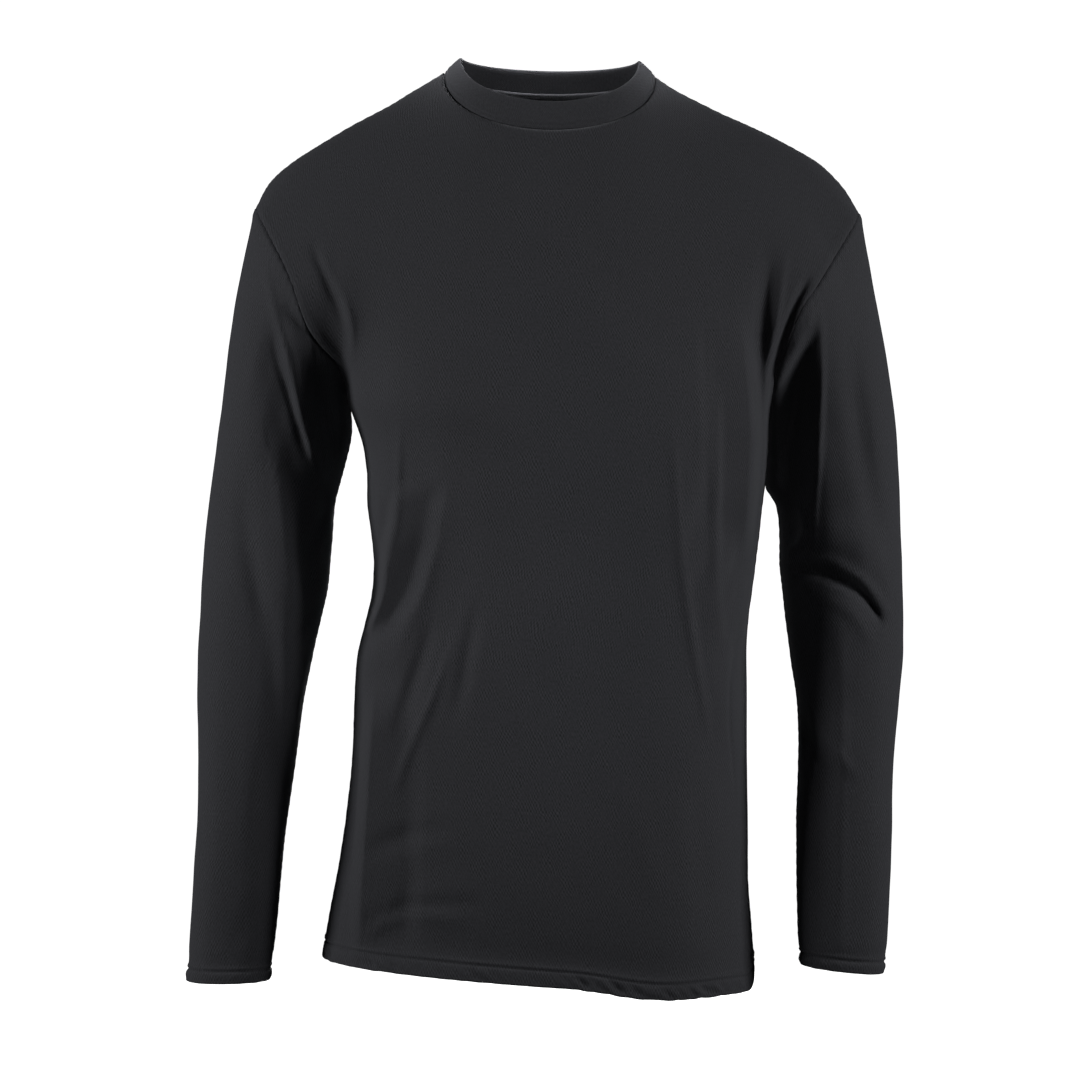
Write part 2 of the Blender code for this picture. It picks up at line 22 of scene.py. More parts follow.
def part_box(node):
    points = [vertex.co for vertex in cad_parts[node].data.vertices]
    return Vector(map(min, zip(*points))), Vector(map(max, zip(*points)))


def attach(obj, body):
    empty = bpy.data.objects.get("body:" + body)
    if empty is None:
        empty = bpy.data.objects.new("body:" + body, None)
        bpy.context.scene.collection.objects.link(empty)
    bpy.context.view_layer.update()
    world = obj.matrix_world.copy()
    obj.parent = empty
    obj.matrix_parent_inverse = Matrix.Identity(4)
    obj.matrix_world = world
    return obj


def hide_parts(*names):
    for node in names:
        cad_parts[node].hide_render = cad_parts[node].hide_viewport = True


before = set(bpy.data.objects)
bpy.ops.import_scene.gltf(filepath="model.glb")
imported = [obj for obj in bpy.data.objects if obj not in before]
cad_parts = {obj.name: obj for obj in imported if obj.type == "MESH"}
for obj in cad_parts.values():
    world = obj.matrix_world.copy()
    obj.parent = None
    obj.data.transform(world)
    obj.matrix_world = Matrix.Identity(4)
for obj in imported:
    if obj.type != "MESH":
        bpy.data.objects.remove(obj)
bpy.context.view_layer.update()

LOG = logging.getLogger("base_layer_top")
MILLIMETRE = 0.001

Place = tuple[float, float]


class Facing(Enum):
    """Which way a side of the top faces, as the sign of its outward Y."""

    FRONT = -1
    BACK = 1


class Slot(Enum):
    """The record's material slots."""

    KNIT = "knit"
    COLLAR = "collar_rib"


# ---------------------------------------------------------------------------
# Shared steps
# ---------------------------------------------------------------------------


def unit(vectors: np.ndarray) -> np.ndarray:
    """The same directions, each one long."""
    return vectors / np.linalg.norm(vectors, axis=-1, keepdims=True)


def bell(away: np.ndarray | float, width: np.ndarray | float) -> np.ndarray:
    """A soft bump that is 1 at no distance and dies away over a width."""
    return np.exp(-((away / width) ** 2))


def eased(share: np.ndarray) -> np.ndarray:
    """A smooth step from 0 to 1."""
    inside = np.clip(share, 0, 1)
    return inside * inside * (3 - 2 * inside)


def run_along(line: np.ndarray) -> np.ndarray:
    """How far along a line each of its points is."""
    return np.concatenate([[0.0], np.cumsum(np.linalg.norm(np.diff(line, axis=0), axis=1))])


def read_at(line: np.ndarray, run: np.ndarray, at: np.ndarray) -> np.ndarray:
    """The values of a line where its run reaches these lengths."""
    return np.stack([np.interp(at, run, axis) for axis in line.T], axis=1)


def evenly(line: np.ndarray, count: int) -> np.ndarray:
    """The same line as this many points, evenly apart."""
    run = run_along(line)
    return read_at(line, run, np.linspace(0, run[-1], count))


def cubic(
    t: np.ndarray,
    gap: np.ndarray | float,
    ends: tuple[np.ndarray, np.ndarray],
    slopes: tuple[np.ndarray, np.ndarray],
) -> np.ndarray:
    """Places on cubic curves.

    Args:
        t: how far along its curve each one is, from 0 to 1.
        gap: how far the ends of each curve lie apart, in the measure of the slopes.
        ends: where each curve starts and ends.
        slopes: how steep it is there.

    Returns:
        The places.
    """
    return (
        (2 * t**3 - 3 * t**2 + 1) * ends[0]
        + (t**3 - 2 * t**2 + t) * gap * slopes[0]
        + (3 * t**2 - 2 * t**3) * ends[1]
        + (t**3 - t**2) * gap * slopes[1]
    )


def neighbours(point: bmesh.types.BMVert) -> list[bmesh.types.BMVert]:
    """The points joined to this one by an edge."""
    return [edge.other_vert(point) for edge in point.link_edges]


def extruded(
    mesh: bmesh.types.BMesh,
    chain: Sequence[bmesh.types.BMVert],
    edges: Sequence[bmesh.types.BMEdge],
    places: np.ndarray,
) -> tuple[list[bmesh.types.BMVert], list[bmesh.types.BMEdge]]:
    """Draws a strip of faces out of a chain of points.

    Args:
        mesh: the mesh.
        chain: the points.
        edges: the edges that join them.
        places: where the far side of the strip goes.

    Returns:
        The points and edges of its far side.
    """
    made = bmesh.ops.extrude_edge_only(mesh, edges=edges)["geom"]
    fresh = {item for item in made if isinstance(item, bmesh.types.BMVert)}
    row = [next(p for p in neighbours(point) if p in fresh) for point in chain]
    for point, place in zip(row, places):
        point.co = place
    sides = [item for item in made if isinstance(item, bmesh.types.BMEdge)]
    return row, [edge for edge in sides if all(point in fresh for point in edge.verts)]


def linked(made: bpy.types.Object) -> bpy.types.Object:
    """Puts an object into the scene."""
    bpy.context.scene.collection.objects.link(made)
    return made


def smooth_object(
    name: str, mesh: bmesh.types.BMesh, material: bpy.types.Material | None = None
) -> bpy.types.Object:
    """Makes an object of a mesh under way, which ends there.

    Args:
        name: what it and its data are called.
        mesh: its mesh, freed here.
        material: what it is made of.

    Returns:
        The object, shaded smooth and in the scene.
    """
    data = bpy.data.meshes.new(name)
    mesh.to_mesh(data)
    mesh.free()
    data.shade_smooth()
    if material:
        data.materials.append(material)
    return linked(bpy.data.objects.new(name, data))


def thicken(piece: bpy.types.Object, thickness: float, offset: float) -> None:
    """Gives a skin its thickness: all inward at an offset of -1, half each way at 0."""
    wall = piece.modifiers.new("wall", "SOLIDIFY")
    wall.thickness = thickness
    wall.offset = offset


# ---------------------------------------------------------------------------
# Shader maths
# ---------------------------------------------------------------------------


class Wire:
    """A node's output that takes part in Python arithmetic, each step adding a Math node."""

    def __init__(self, shop: "NodeShop", socket: bpy.types.NodeSocket) -> None:
        """Keeps the output and the node shop that its sums are made in."""
        self.shop = shop
        self.socket = socket

    def _math(self, operation: str, *values: "Wire | float") -> "Wire":
        """Adds one Math node over the given values."""
        return self.shop.node("ShaderNodeMath", dict(enumerate(values)), {"operation": operation})

    def __add__(self, other: "Wire | float") -> "Wire":
        """Sum."""
        return self._math("ADD", self, other)

    __radd__ = __add__

    def __mul__(self, other: "Wire | float") -> "Wire":
        """Product."""
        return self._math("MULTIPLY", self, other)

    def __sub__(self, other: "Wire | float") -> "Wire":
        """Difference."""
        return self._math("SUBTRACT", self, other)

    def wave(self, period: float) -> "Wire":
        """A cosine that repeats each period."""
        return self._math("COSINE", self * (2 * math.pi / period))

    def above(self, low: float, high: float) -> "Wire":
        """How far the value stands between low and high, from 0 to 1, eased at both ends."""
        return self.shop.node(
            "ShaderNodeMapRange",
            {"Value": self, "From Min": low, "From Max": high},
            {"interpolation_type": "SMOOTHSTEP"},
        )

    def part(self, axis: int) -> "Wire":
        """One of a vector's three numbers."""
        return self.shop.node("ShaderNodeSeparateXYZ", {0: self}, output=axis)

    def tinted(self, colour: Sequence[float]) -> "Wire":
        """A colour made this many times as bright."""
        return self.shop.node(
            "ShaderNodeVectorMath", {0: colour, "Scale": self}, {"operation": "SCALE"}
        )


class NodeShop:
    """Makes the nodes of one material."""

    def __init__(self, name: str) -> None:
        """Starts a material with a Principled shader.

        Args:
            name: the material's name.
        """
        self.material = bpy.data.materials.new(name)
        self.material.use_nodes = True
        self.tree = self.material.node_tree
        self.shader = self.tree.nodes["Principled BSDF"]

    def node(
        self,
        kind: str,
        sockets: dict[str | int, "Wire | float | Sequence[float]"] | None = None,
        settings: dict[str, Any] | None = None,
        output: str | int = 0,
    ) -> Wire:
        """Adds a node.

        Args:
            kind: the node's type.
            sockets: what its inputs get, by name or number.
            settings: its own settings, which are set first.
            output: the output to return, by name or number.

        Returns:
            The chosen output.
        """
        made = self.tree.nodes.new(kind)
        for name, value in (settings or {}).items():
            setattr(made, name, value)
        for name, value in (sockets or {}).items():
            self.feed(made.inputs[name], value)
        return Wire(self, made.outputs[output])

    def feed(self, socket: bpy.types.NodeSocket, value: "Wire | float | Sequence[float]") -> None:
        """Links or sets one input."""
        if isinstance(value, Wire):
            self.tree.links.new(value.socket, socket)
        else:
            socket.default_value = value

    def finish(self, **inputs: "Wire | float | Sequence[float]") -> bpy.types.Material:
        """Links or sets the shader's own inputs, named with _ for a space.

        Args:
            inputs: the value or wire of each.

        Returns:
            The finished material.
        """
        for name, value in inputs.items():
            self.feed(self.shader.inputs[name.replace("_", " ")], value)
        return self.material

    def noise(self, place: Wire, scale: Sequence[float], detail: float = 2.0) -> Wire:
        """Noise over a surface, with its own scale each way."""
        spread = self.node("ShaderNodeVectorMath", {0: place, 1: scale}, {"operation": "MULTIPLY"})
        return self.node("ShaderNodeTexNoise", {"Vector": spread, "Scale": 1.0, "Detail": detail})

    def bumped(self, height: Wire, distance: float, strength: float) -> Wire:
        """A normal for a relief of this depth."""
        return self.node(
            "ShaderNodeBump", {"Height": height, "Distance": distance, "Strength": strength}, output="Normal"
        )


@dataclass(frozen=True)
class KnitFinish:
    """A fine dark knit: a lattice of small stitches, faint cross streaks and soft mottling."""

    name: str
    colour: tuple[float, float, float] = (0.0212, 0.0216, 0.0252)
    wale: float = 0.00242
    course: float = 0.00468
    depth: float = 0.00022
    bump: float = 0.5
    contrast: float = 1.0
    unevenness: float = 1.1
    streaks: float = 0.16
    mottling: float = 0.14
    ribs: float = 0.0
    rib_share: float = 0.35
    roughness: float = 0.86
    sheen: float = 0.10

    DRIFT_SCALE = (110.0, 90.0, 1.0)
    CLEAR_SCALE = (90.0, 70.0, 1.0)
    YARN_SCALE = (520.0, 430.0, 1.0)
    STREAK_SCALE = (75.0, 1100.0, 1.0)
    PATCH_SCALE = (24.0, 30.0, 1.0)
    MOTTLE_SCALE = (16.0, 11.0, 1.0)
    # from where to where each of these noises fades in
    CLEAR_RANGE = (0.36, 0.62)
    STREAK_RANGE = (0.58, 0.78)
    PATCH_RANGE = (0.40, 0.66)
    LEAST_CLEAR = 0.2
    # how far the drift bends the stitches sideways and up
    DRIFT_SHARES = (1.6, 0.5)
    # how strongly the stitches lean each way
    DIAGONALS = (0.62, 0.38)
    # how much stitches and yarn stand out, and what ribs leave of that
    STITCH_HEIGHT = 0.5
    YARN_HEIGHT = 0.45
    LEFT_BY_RIBS = 0.6

    def material(self) -> bpy.types.Material:
        """Makes the material."""
        shop = NodeShop(self.name)
        place = shop.node("ShaderNodeUVMap", settings={"uv_map": "cut"})
        across, up = place.part(0), place.part(1)
        drift = shop.noise(place, self.DRIFT_SCALE) - 0.5
        side = across * (1 / self.wale) + drift * self.DRIFT_SHARES[0]
        rise = up * (1 / self.course) + drift * self.DRIFT_SHARES[1]
        one_way, other_way = self.DIAGONALS
        stitch = (side + rise).wave(1.0) * one_way + (side - rise).wave(1.0) * other_way
        clear = shop.noise(place, self.CLEAR_SCALE).above(*self.CLEAR_RANGE) + self.LEAST_CLEAR
        yarn = shop.noise(place, self.YARN_SCALE, 3.0)
        streak = shop.noise(place, self.STREAK_SCALE).above(*self.STREAK_RANGE)
        patches = shop.noise(place, self.PATCH_SCALE).above(*self.PATCH_RANGE)
        mottle = shop.noise(place, self.MOTTLE_SCALE, 3.0) - 0.5
        relief = stitch * self.STITCH_HEIGHT + yarn * self.YARN_HEIGHT
        if self.ribs:
            relief = relief * self.LEFT_BY_RIBS + across.wave(self.ribs) * self.rib_share
        tone = 1.0 + stitch * clear * (self.contrast * 0.5) + (yarn - 0.5) * self.unevenness
        tone = tone + streak * patches * self.streaks + mottle * self.mottling
        return shop.finish(
            Base_Color=tone.tinted(self.colour),
            Normal=shop.bumped(relief, self.depth, self.bump),
            Roughness=self.roughness,
            Specular_IOR_Level=0.25,
            Sheen_Weight=self.sheen,
            Sheen_Roughness=0.45,
            Sheen_Tint=(0.9, 0.93, 1.0, 1.0),
        )


@dataclass(frozen=True)
class ThreadFinish:
    """Sewing thread, a little smoother than the knit."""

    name: str = "thread"
    colour: tuple[float, float, float] = (0.0130, 0.0134, 0.0155)

    TWIST_SCALE = (900.0, 900.0, 900.0)
    LEAST_BRIGHT = 0.8
    TWIST = 0.5

    def material(self) -> bpy.types.Material:
        """Makes the material."""
        shop = NodeShop(self.name)
        place = shop.node("ShaderNodeTexCoord", output="Object")
        twist = shop.noise(place, self.TWIST_SCALE) * self.TWIST + self.LEAST_BRIGHT
        return shop.finish(
            Base_Color=twist.tinted(self.colour), Roughness=0.6, Specular_IOR_Level=0.4
        )


# ---------------------------------------------------------------------------
# Creases
# ---------------------------------------------------------------------------


def spline(points: Sequence[Sequence[float]], count: int) -> np.ndarray:
    """A smooth line through a few points.

    Args:
        points: the points it passes.
        count: how many points to return.

    Returns:
        Points along it, evenly apart.
    """
    knots = np.asarray(points, float)
    slopes = np.gradient(knots, axis=0)
    at = np.linspace(0, len(knots) - 1, count * 3)
    index = np.clip(at.astype(int), 0, len(knots) - 2)
    t = (at - index)[:, None]
    line = cubic(t, 1.0, (knots[index], knots[index + 1]), (slopes[index], slopes[index + 1]))
    return evenly(line, count)


@dataclass(frozen=True)
class Crease:
    """A crease, as seen from in front.

    Attributes:
        points: where it runs, as x and z.
        width: how far from its line it dies away.
        height: how far it stands out; minus sinks in.
        lean: how much wider its flank to the left of its run is than the other.
        fade: how softly its two ends die away.
        swell: whether it moves the cloth square to itself, not in depth.
    """

    points: tuple[Place, ...]
    width: float
    height: float
    lean: float = 0.0
    fade: float = 0.7
    swell: bool = False

    STEPS = 48
    END = 0.05

    def lift(self, places: np.ndarray) -> np.ndarray:
        """How far the crease moves the cloth out at each place."""
        line = spline(self.points, self.STEPS)
        run = unit(np.gradient(line, axis=0))
        share = np.sin(np.linspace(self.END, math.pi - self.END, self.STEPS)) ** self.fade
        reach = 3 * self.width * (1 + abs(self.lean))
        near = np.all((places > line.min(0) - reach) & (places < line.max(0) + reach), axis=1)
        total = np.zeros(len(places))
        if near.any():
            away = places[near, None] - line
            distance = np.hypot(away[..., 0], away[..., 1])
            nearest = distance.argmin(axis=1)
            rows = np.arange(len(nearest))
            step, along = away[rows, nearest], run[nearest]
            side = np.sign(step[:, 0] * along[:, 1] - step[:, 1] * along[:, 0])
            width = self.width * (1 - self.lean * side)
            total[near] = share[nearest] * bell(distance[rows, nearest], width)
        return self.height * total


@dataclass(frozen=True)
class Ledge:
    """A strip of cloth that drops sharply at one side, lies nearly flat and rounds off at the other.

    Attributes:
        rows: from the top, the height of each of its levels, then the place and depth (x and y) of
            its foot and of its outer edge, in millimetres.
        drop: how wide the drop at its foot is.
        round_off: how wide the rounding at its outer edge is.
        fade: how far its two ends die away.
        back: the depth behind which the cloth keeps its place.
        reach: how far before that depth the ledge comes to its full strength.
        SPARE: the share of its width for which its slope goes on past its foot and its edge.
    """

    rows: tuple[tuple[float, float, float, float, float], ...]
    drop: float = 0.017
    round_off: float = 0.012
    fade: float = 0.016
    back: float = -0.025
    reach: float = 0.030

    SPARE = 0.5

    def push(self, points: np.ndarray) -> np.ndarray:
        """How far the ledge moves the cloth along Y at each point."""
        heights, *columns = np.array(self.rows[::-1]).T * MILLIMETRE
        x, y, z = points.T
        foot, near, edge, far = (np.interp(z, heights, column) for column in columns)
        share = np.clip((x - foot) / (edge - foot), -self.SPARE, 1 + self.SPARE)
        target = near + share * (far - near)
        toward = np.sign(columns[2][0] - columns[0][0])
        held = eased(toward * (x - foot) / self.drop + 1) * eased(toward * (edge - x) / self.round_off + 1)
        held *= eased((z - heights[0]) / self.fade) * eased((heights[-1] - z) / self.fade)
        held *= eased((self.back - y) / self.reach)
        return (target - y) * held


def laid(
    width: float,
    height: float,
    *points: Place,
    lean: float = 0.0,
    fade: float = 0.7,
    swell: bool = False,
) -> Crease:
    """A crease from sizes and places in millimetres."""
    route = tuple((x * MILLIMETRE, z * MILLIMETRE) for x, z in points)
    return Crease(route, width * MILLIMETRE, height * MILLIMETRE, lean, fade, swell)


FRONT_CREASES = (
    laid(5.0, 1.3, (-84, -350), (-87, -377), (-93, -395), (-102, -423), (-112, -447), (-122, -468),
         (-132, -490)),
    laid(3.8, 2.6, (-118, -285), (-120, -323), (-123, -362), (-127, -385)),
    laid(4.0, 3.2, (-78, -461), (-90, -495), (-103, -524), (-114, -550), (-122, -573)),
    laid(7.5, -5.0, (-92, -440), (-98, -462), (-109, -495), (-122, -528)),
    laid(7.0, -3.6, (-57, -424), (-63, -456), (-69, -490), (-77, -520)),
    laid(5.0, -3.5, (-190, -140), (-185, -154), (-176, -172), (-167, -190), (-160, -215)),
    laid(4.0, 3.2, (-182, -148), (-174, -168), (-163, -190), (-158, -212), (-159, -245)),
    laid(7.0, -2.6, (-146, -624), (-117, -611), (-77, -602)),
    laid(5.5, -2.6, (-134, -671), (-94, -663), (-53, -661)),
    laid(4.5, 2.0, (-150, -690), (-112, -672), (-66, -676)),
    laid(30.0, -3.5, (-150, -688), (-80, -700), (0, -705), (90, -715)),
    laid(26.0, -3.5, (-130, -672), (-95, -690), (-60, -700)),
    laid(3.6, 3.0, (96, -297), (98, -338), (103, -393), (111, -450), (119, -497), (125, -534)),
    laid(5.0, 3.6, (132, -262), (132, -330), (132, -399), (135, -445), (142, -468), lean=-0.4),
    laid(6.0, -1.0, (112, -330), (115, -400), (120, -470), (129, -540)),
    laid(1.6, -1.4, (146, -470), (142, -493), (142, -524), (145, -556), (147, -580)),
    laid(4.0, -2.0, (176, -150), (172, -185), (169, -215), (165, -245)),
    laid(3.4, 3.6, (187, -148), (183, -178), (179, -205), (174, -232), (168, -300)),
    laid(3.6, -7.0, (204, -172), (194, -193), (186, -215), (181, -232), (177, -248), fade=0.4),
    laid(12.0, 1.0, (50, -560), (70, -610), (85, -670)),
    laid(11.0, -1.4, (115, -560), (118, -620), (128, -690)),
    laid(16.0, 1.0, (-30, -300), (-45, -400), (-55, -500)),
    laid(15.0, -0.9, (20, -330), (30, -430), (30, -540)),
)
FRONT_LEDGES = (
    Ledge((
        (-330, -94, -99, -108, -96),
        (-346, -98, -97, -117, -92.5),
        (-362, -102, -95, -120, -91.5),
        (-378, -103, -93, -124, -90),
        (-393, -108, -88, -127, -85.5),
        (-409, -112, -84, -131, -81.5),
        (-425, -119, -79, -135, -76.5),
        (-440, -129, -73, -141, -71),
        (-456, -137, -68, -147, -65),
    )),
    Ledge((
        (-480, -114, -91, -136, -84),
        (-550, -116, -92.5, -142, -86.5),
        (-610, -118, -92.5, -145, -86.5),
        (-650, -118, -95, -148, -88.5),
        (-712, -120, -101, -150, -94),
    ), drop=0.020, fade=0.05),
    Ledge((
        (-190, 132, -86, 146, -82),
        (-240, 134, -93, 153, -85),
        (-290, 136, -95, 157, -86),
        (-340, 136, -93, 156, -84),
        (-400, 136, -84, 150, -78),
    ), drop=0.020, round_off=0.013, fade=0.05),
)
BACK_CREASES = (
    laid(7.0, 2.4, (-120, -290), (-105, -370), (-85, -430), (-60, -480), lean=0.2),
    laid(8.0, -2.0, (-140, -340), (-126, -430), (-100, -520)),
    laid(6.5, 1.6, (-150, -380), (-136, -470), (-118, -560), lean=-0.2),
    laid(7.0, 2.4, (126, -285), (114, -380), (92, -450), (70, -500), lean=-0.2),
    laid(8.0, -2.0, (146, -350), (130, -450), (108, -550)),
    laid(6.5, 1.6, (150, -420), (140, -510), (126, -600), lean=0.2),
    laid(10.0, -1.4, (-20, -370), (-12, -460), (14, -560)),
    laid(9.0, 1.4, (50, -420), (44, -520), (60, -630)),
    laid(6.5, -2.6, (-172, -165), (-162, -212), (-153, -262)),
    laid(5.5, 2.0, (-160, -160), (-150, -205), (-146, -265)),
    laid(6.5, -2.6, (180, -160), (170, -212), (163, -272)),
    laid(5.5, 2.0, (168, -155), (158, -205), (152, -268)),
    laid(11.0, -1.0, (-100, -630), (-50, -645), (0, -640)),
    laid(13.0, -1.0, (-60, -60), (0, -72), (60, -62)),
)
RIGHT_SLEEVE_CREASES = {
    Facing.FRONT: (
        laid(3.0, 3.8, (-228, -159), (-219, -196), (-209, -232), (-205, -252), (-199, -277),
             (-192, -300), (-182, -328), (-174, -350)),
        laid(3.4, -4.0, (-221, -215), (-217, -234), (-212, -250), (-207, -266), (-203, -282),
             (-198, -298), (-193, -316)),
        laid(6.0, 1.5, (-205, -165), (-190, -190), (-176, -225)),
        laid(6.0, -4.0, (-212, -188), (-203, -200), (-190, -212), (-176, -224)),
        laid(12.0, -13.0, (-187, -238), (-185, -257), (-179, -282), (-172, -312),
             (-167, -345), lean=0.2, fade=0.55),
        laid(4.5, -3.0, (-172, -338), (-182, -358), (-192, -386)),
        laid(5.0, -2.4, (-183, -425), (-194, -437), (-208, -462)),
        laid(7.0, -0.7, (-230, -290), (-222, -345), (-214, -394), (-203, -450)),
        laid(6.0, 1.0, (-214, -320), (-206, -380), (-198, -440)),
        laid(6.0, 0.7, (-232, -350), (-226, -420), (-226, -500), (-230, -580)),
        laid(14.0, 13.5, (-222, -312), (-215, -340), (-210, -378), (-207, -410), (-204, -442),
             (-202, -505), (-206, -560), lean=-0.4),
        laid(9.0, -3.6, (-245, -320), (-242, -375), (-235, -408), (-227, -440), (-221, -475),
             (-219, -515), (-224, -570), (-232, -640)),
        laid(10.0, 0.8, (-245, -480), (-240, -550), (-243, -620)),
        laid(8.0, -0.8, (-232, -660), (-245, -690), (-252, -712)),
        laid(12.0, -1.0, (-262, -300), (-258, -380), (-262, -460)),
    ),
    Facing.BACK: (
        laid(5.0, -3.4, (-270, -330), (-245, -355), (-205, -362)),
        laid(4.8, 3.0, (-274, -349), (-248, -373), (-208, -382)),
        laid(5.2, -3.4, (-276, -380), (-250, -400), (-215, -403)),
        laid(5.0, 2.6, (-276, -398), (-250, -420), (-218, -424)),
        laid(5.5, -2.6, (-270, -440), (-248, -452), (-220, -446)),
        laid(6.5, -3.0, (-232, -170), (-205, -220), (-185, -275)),
        laid(4.5, 2.8, (-222, -160), (-196, -205), (-178, -255)),
        laid(6.0, -2.0, (-262, -560), (-240, -580), (-222, -575)),
        laid(8.0, 1.4, (-262, -600), (-246, -640), (-238, -690)),
    ),
}
LEFT_SLEEVE_CREASES = {
    Facing.FRONT: (
        laid(3.6, 3.4, (215, -192), (217, -245), (215, -300), (212, -345), (210, -385), lean=-0.2),
        laid(12.0, -14.0, (203, -222), (200, -250), (196, -285), (194, -325),
             (192, -380), lean=-0.2, fade=0.45),
        laid(5.0, -3.0, (213, -208), (204, -228), (195, -248), (187, -266)),
        laid(4.2, 4.2, (210, -192), (200, -214), (190, -236), (180, -258)),
        laid(3.2, 6.4, (202, -350), (203, -370), (197, -383), (186, -390)),
        laid(3.8, -5.6, (182, -397), (203, -402), (223, -406), (243, -418), (253, -427),
             (264, -442), fade=0.35),
        laid(2.6, -4.2, (232, -407), (244, -414), (254, -425), (263, -440), fade=0.4),
        laid(4.0, 2.6, (205, -392), (225, -395), (246, -407), (258, -418), (274, -440)),
        laid(6.0, 1.8, (218, -424), (236, -432), (248, -444), (256, -462)),
        laid(4.5, 2.6, (196, -494), (206, -513), (217, -533), (244, -566)),
        laid(4.8, -3.0, (194, -509), (204, -533), (216, -552), (232, -571)),
        laid(12.0, 4.5, (214, -285), (213, -305), (212, -330), (210, -350), (208, -370), lean=0.5),
        laid(10.0, -4.2, (241, -205), (243, -235), (245, -262), (249, -290), (252, -314), (257, -338),
             (262, -362), (268, -385)),
        laid(16.0, -9.0, (206, -440), (211, -500), (214, -600), (214, -702)),
        laid(7.0, 2.2, (232, -450), (231, -530), (230, -620), (230, -706), lean=-0.2),
        laid(6.0, 1.2, (222, -130), (208, -160), (196, -196)),
        laid(12.0, 1.8, (182, -262), (178, -292), (180, -330), swell=True),
    ),
    Facing.BACK: (
        laid(5.0, -3.4, (274, -345), (248, -368), (208, -374)),
        laid(4.8, 3.0, (278, -364), (250, -387), (210, -394)),
        laid(5.2, -3.4, (280, -395), (252, -415), (214, -414)),
        laid(5.0, 2.6, (280, -414), (252, -434), (216, -434)),
        laid(5.5, -2.6, (274, -455), (250, -468), (220, -462)),
        laid(6.5, -3.0, (246, -180), (218, -230), (198, -285)),
        laid(4.5, 2.8, (236, -168), (209, -215), (190, -268)),
        laid(6.0, -2.0, (262, -580), (240, -598), (218, -592)),
        laid(8.0, 1.4, (262, -615), (246, -650), (238, -695)),
        laid(12.0, 1.8, (182, -262), (178, -292), (180, -330), swell=True),
    ),
}
CREASES: dict[str, dict[Facing, tuple[Crease, ...]]] = {
    "front": {Facing.FRONT: FRONT_CREASES},
    "back": {Facing.BACK: BACK_CREASES},
    "sleeve_right": RIGHT_SLEEVE_CREASES,
    "sleeve_left": LEFT_SLEEVE_CREASES,
}


# ---------------------------------------------------------------------------
# Cloth shells
# ---------------------------------------------------------------------------


class Walls:
    """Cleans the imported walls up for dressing."""

    MERGE = 1e-5
    TURN = math.radians(70)

    @classmethod
    def copy(cls, node: str) -> bmesh.types.BMesh:
        """A merged copy of a node's mesh."""
        mesh = bmesh.new()
        mesh.from_mesh(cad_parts[node].data)
        bmesh.ops.remove_doubles(mesh, verts=mesh.verts, dist=cls.MERGE)
        mesh.normal_update()
        return mesh

    @classmethod
    def keep_outer(cls, mesh: bmesh.types.BMesh, outward: Sequence[float]) -> None:
        """Deletes all but the outer face of a wall.

        Args:
            mesh: the wall, closed.
            outward: a direction in which its outermost triangle is part of the outer face.
        """
        seed = max(mesh.faces, key=lambda face: face.calc_center_median().dot(Vector(outward)))
        kept, queue = {seed}, [seed]
        while queue:
            face = queue.pop()
            for edge in face.edges:
                for other in edge.link_faces:
                    if other not in kept and face.normal.angle(other.normal) < cls.TURN:
                        kept.add(other)
                        queue.append(other)
        rest = [face for face in mesh.faces if face not in kept]
        bmesh.ops.delete(mesh, geom=rest, context="FACES")

    @classmethod
    def join_to_quads(cls, mesh: bmesh.types.BMesh) -> None:
        """Dissolves the diagonals of a grid of triangles that are all split the same way.

        They go in the order in which they are found, so that each run makes the same mesh.
        """

        def clearest(face: bmesh.types.BMFace) -> float:
            """How much the triangle's longest edge stands out."""
            lengths = sorted(edge.calc_length() for edge in face.edges)
            return lengths[2] / lengths[1]

        corners = [point for point in mesh.verts if len(point.link_edges) == 2]
        seed = corners[0].link_faces[0] if corners else max(mesh.faces, key=clearest)
        diagonal = {seed: max(seed.edges, key=lambda edge: edge.calc_length())}
        if corners:
            diagonal[seed] = next(edge for edge in seed.edges if corners[0] not in edge.verts)
        queue = [seed]
        while queue:
            face = queue.pop()
            split = diagonal[face]
            for edge in face.edges:
                for other in edge.link_faces:
                    if other in diagonal:
                        continue
                    if edge is split:
                        diagonal[other] = split
                    else:
                        shared = next(point for point in edge.verts if point not in split.verts)
                        diagonal[other] = next(
                            side for side in other.edges if side is not edge and shared in side.verts
                        )
                    queue.append(other)
        found = list(dict.fromkeys(diagonal.values()))
        bmesh.ops.dissolve_edges(mesh, edges=found, use_verts=False)


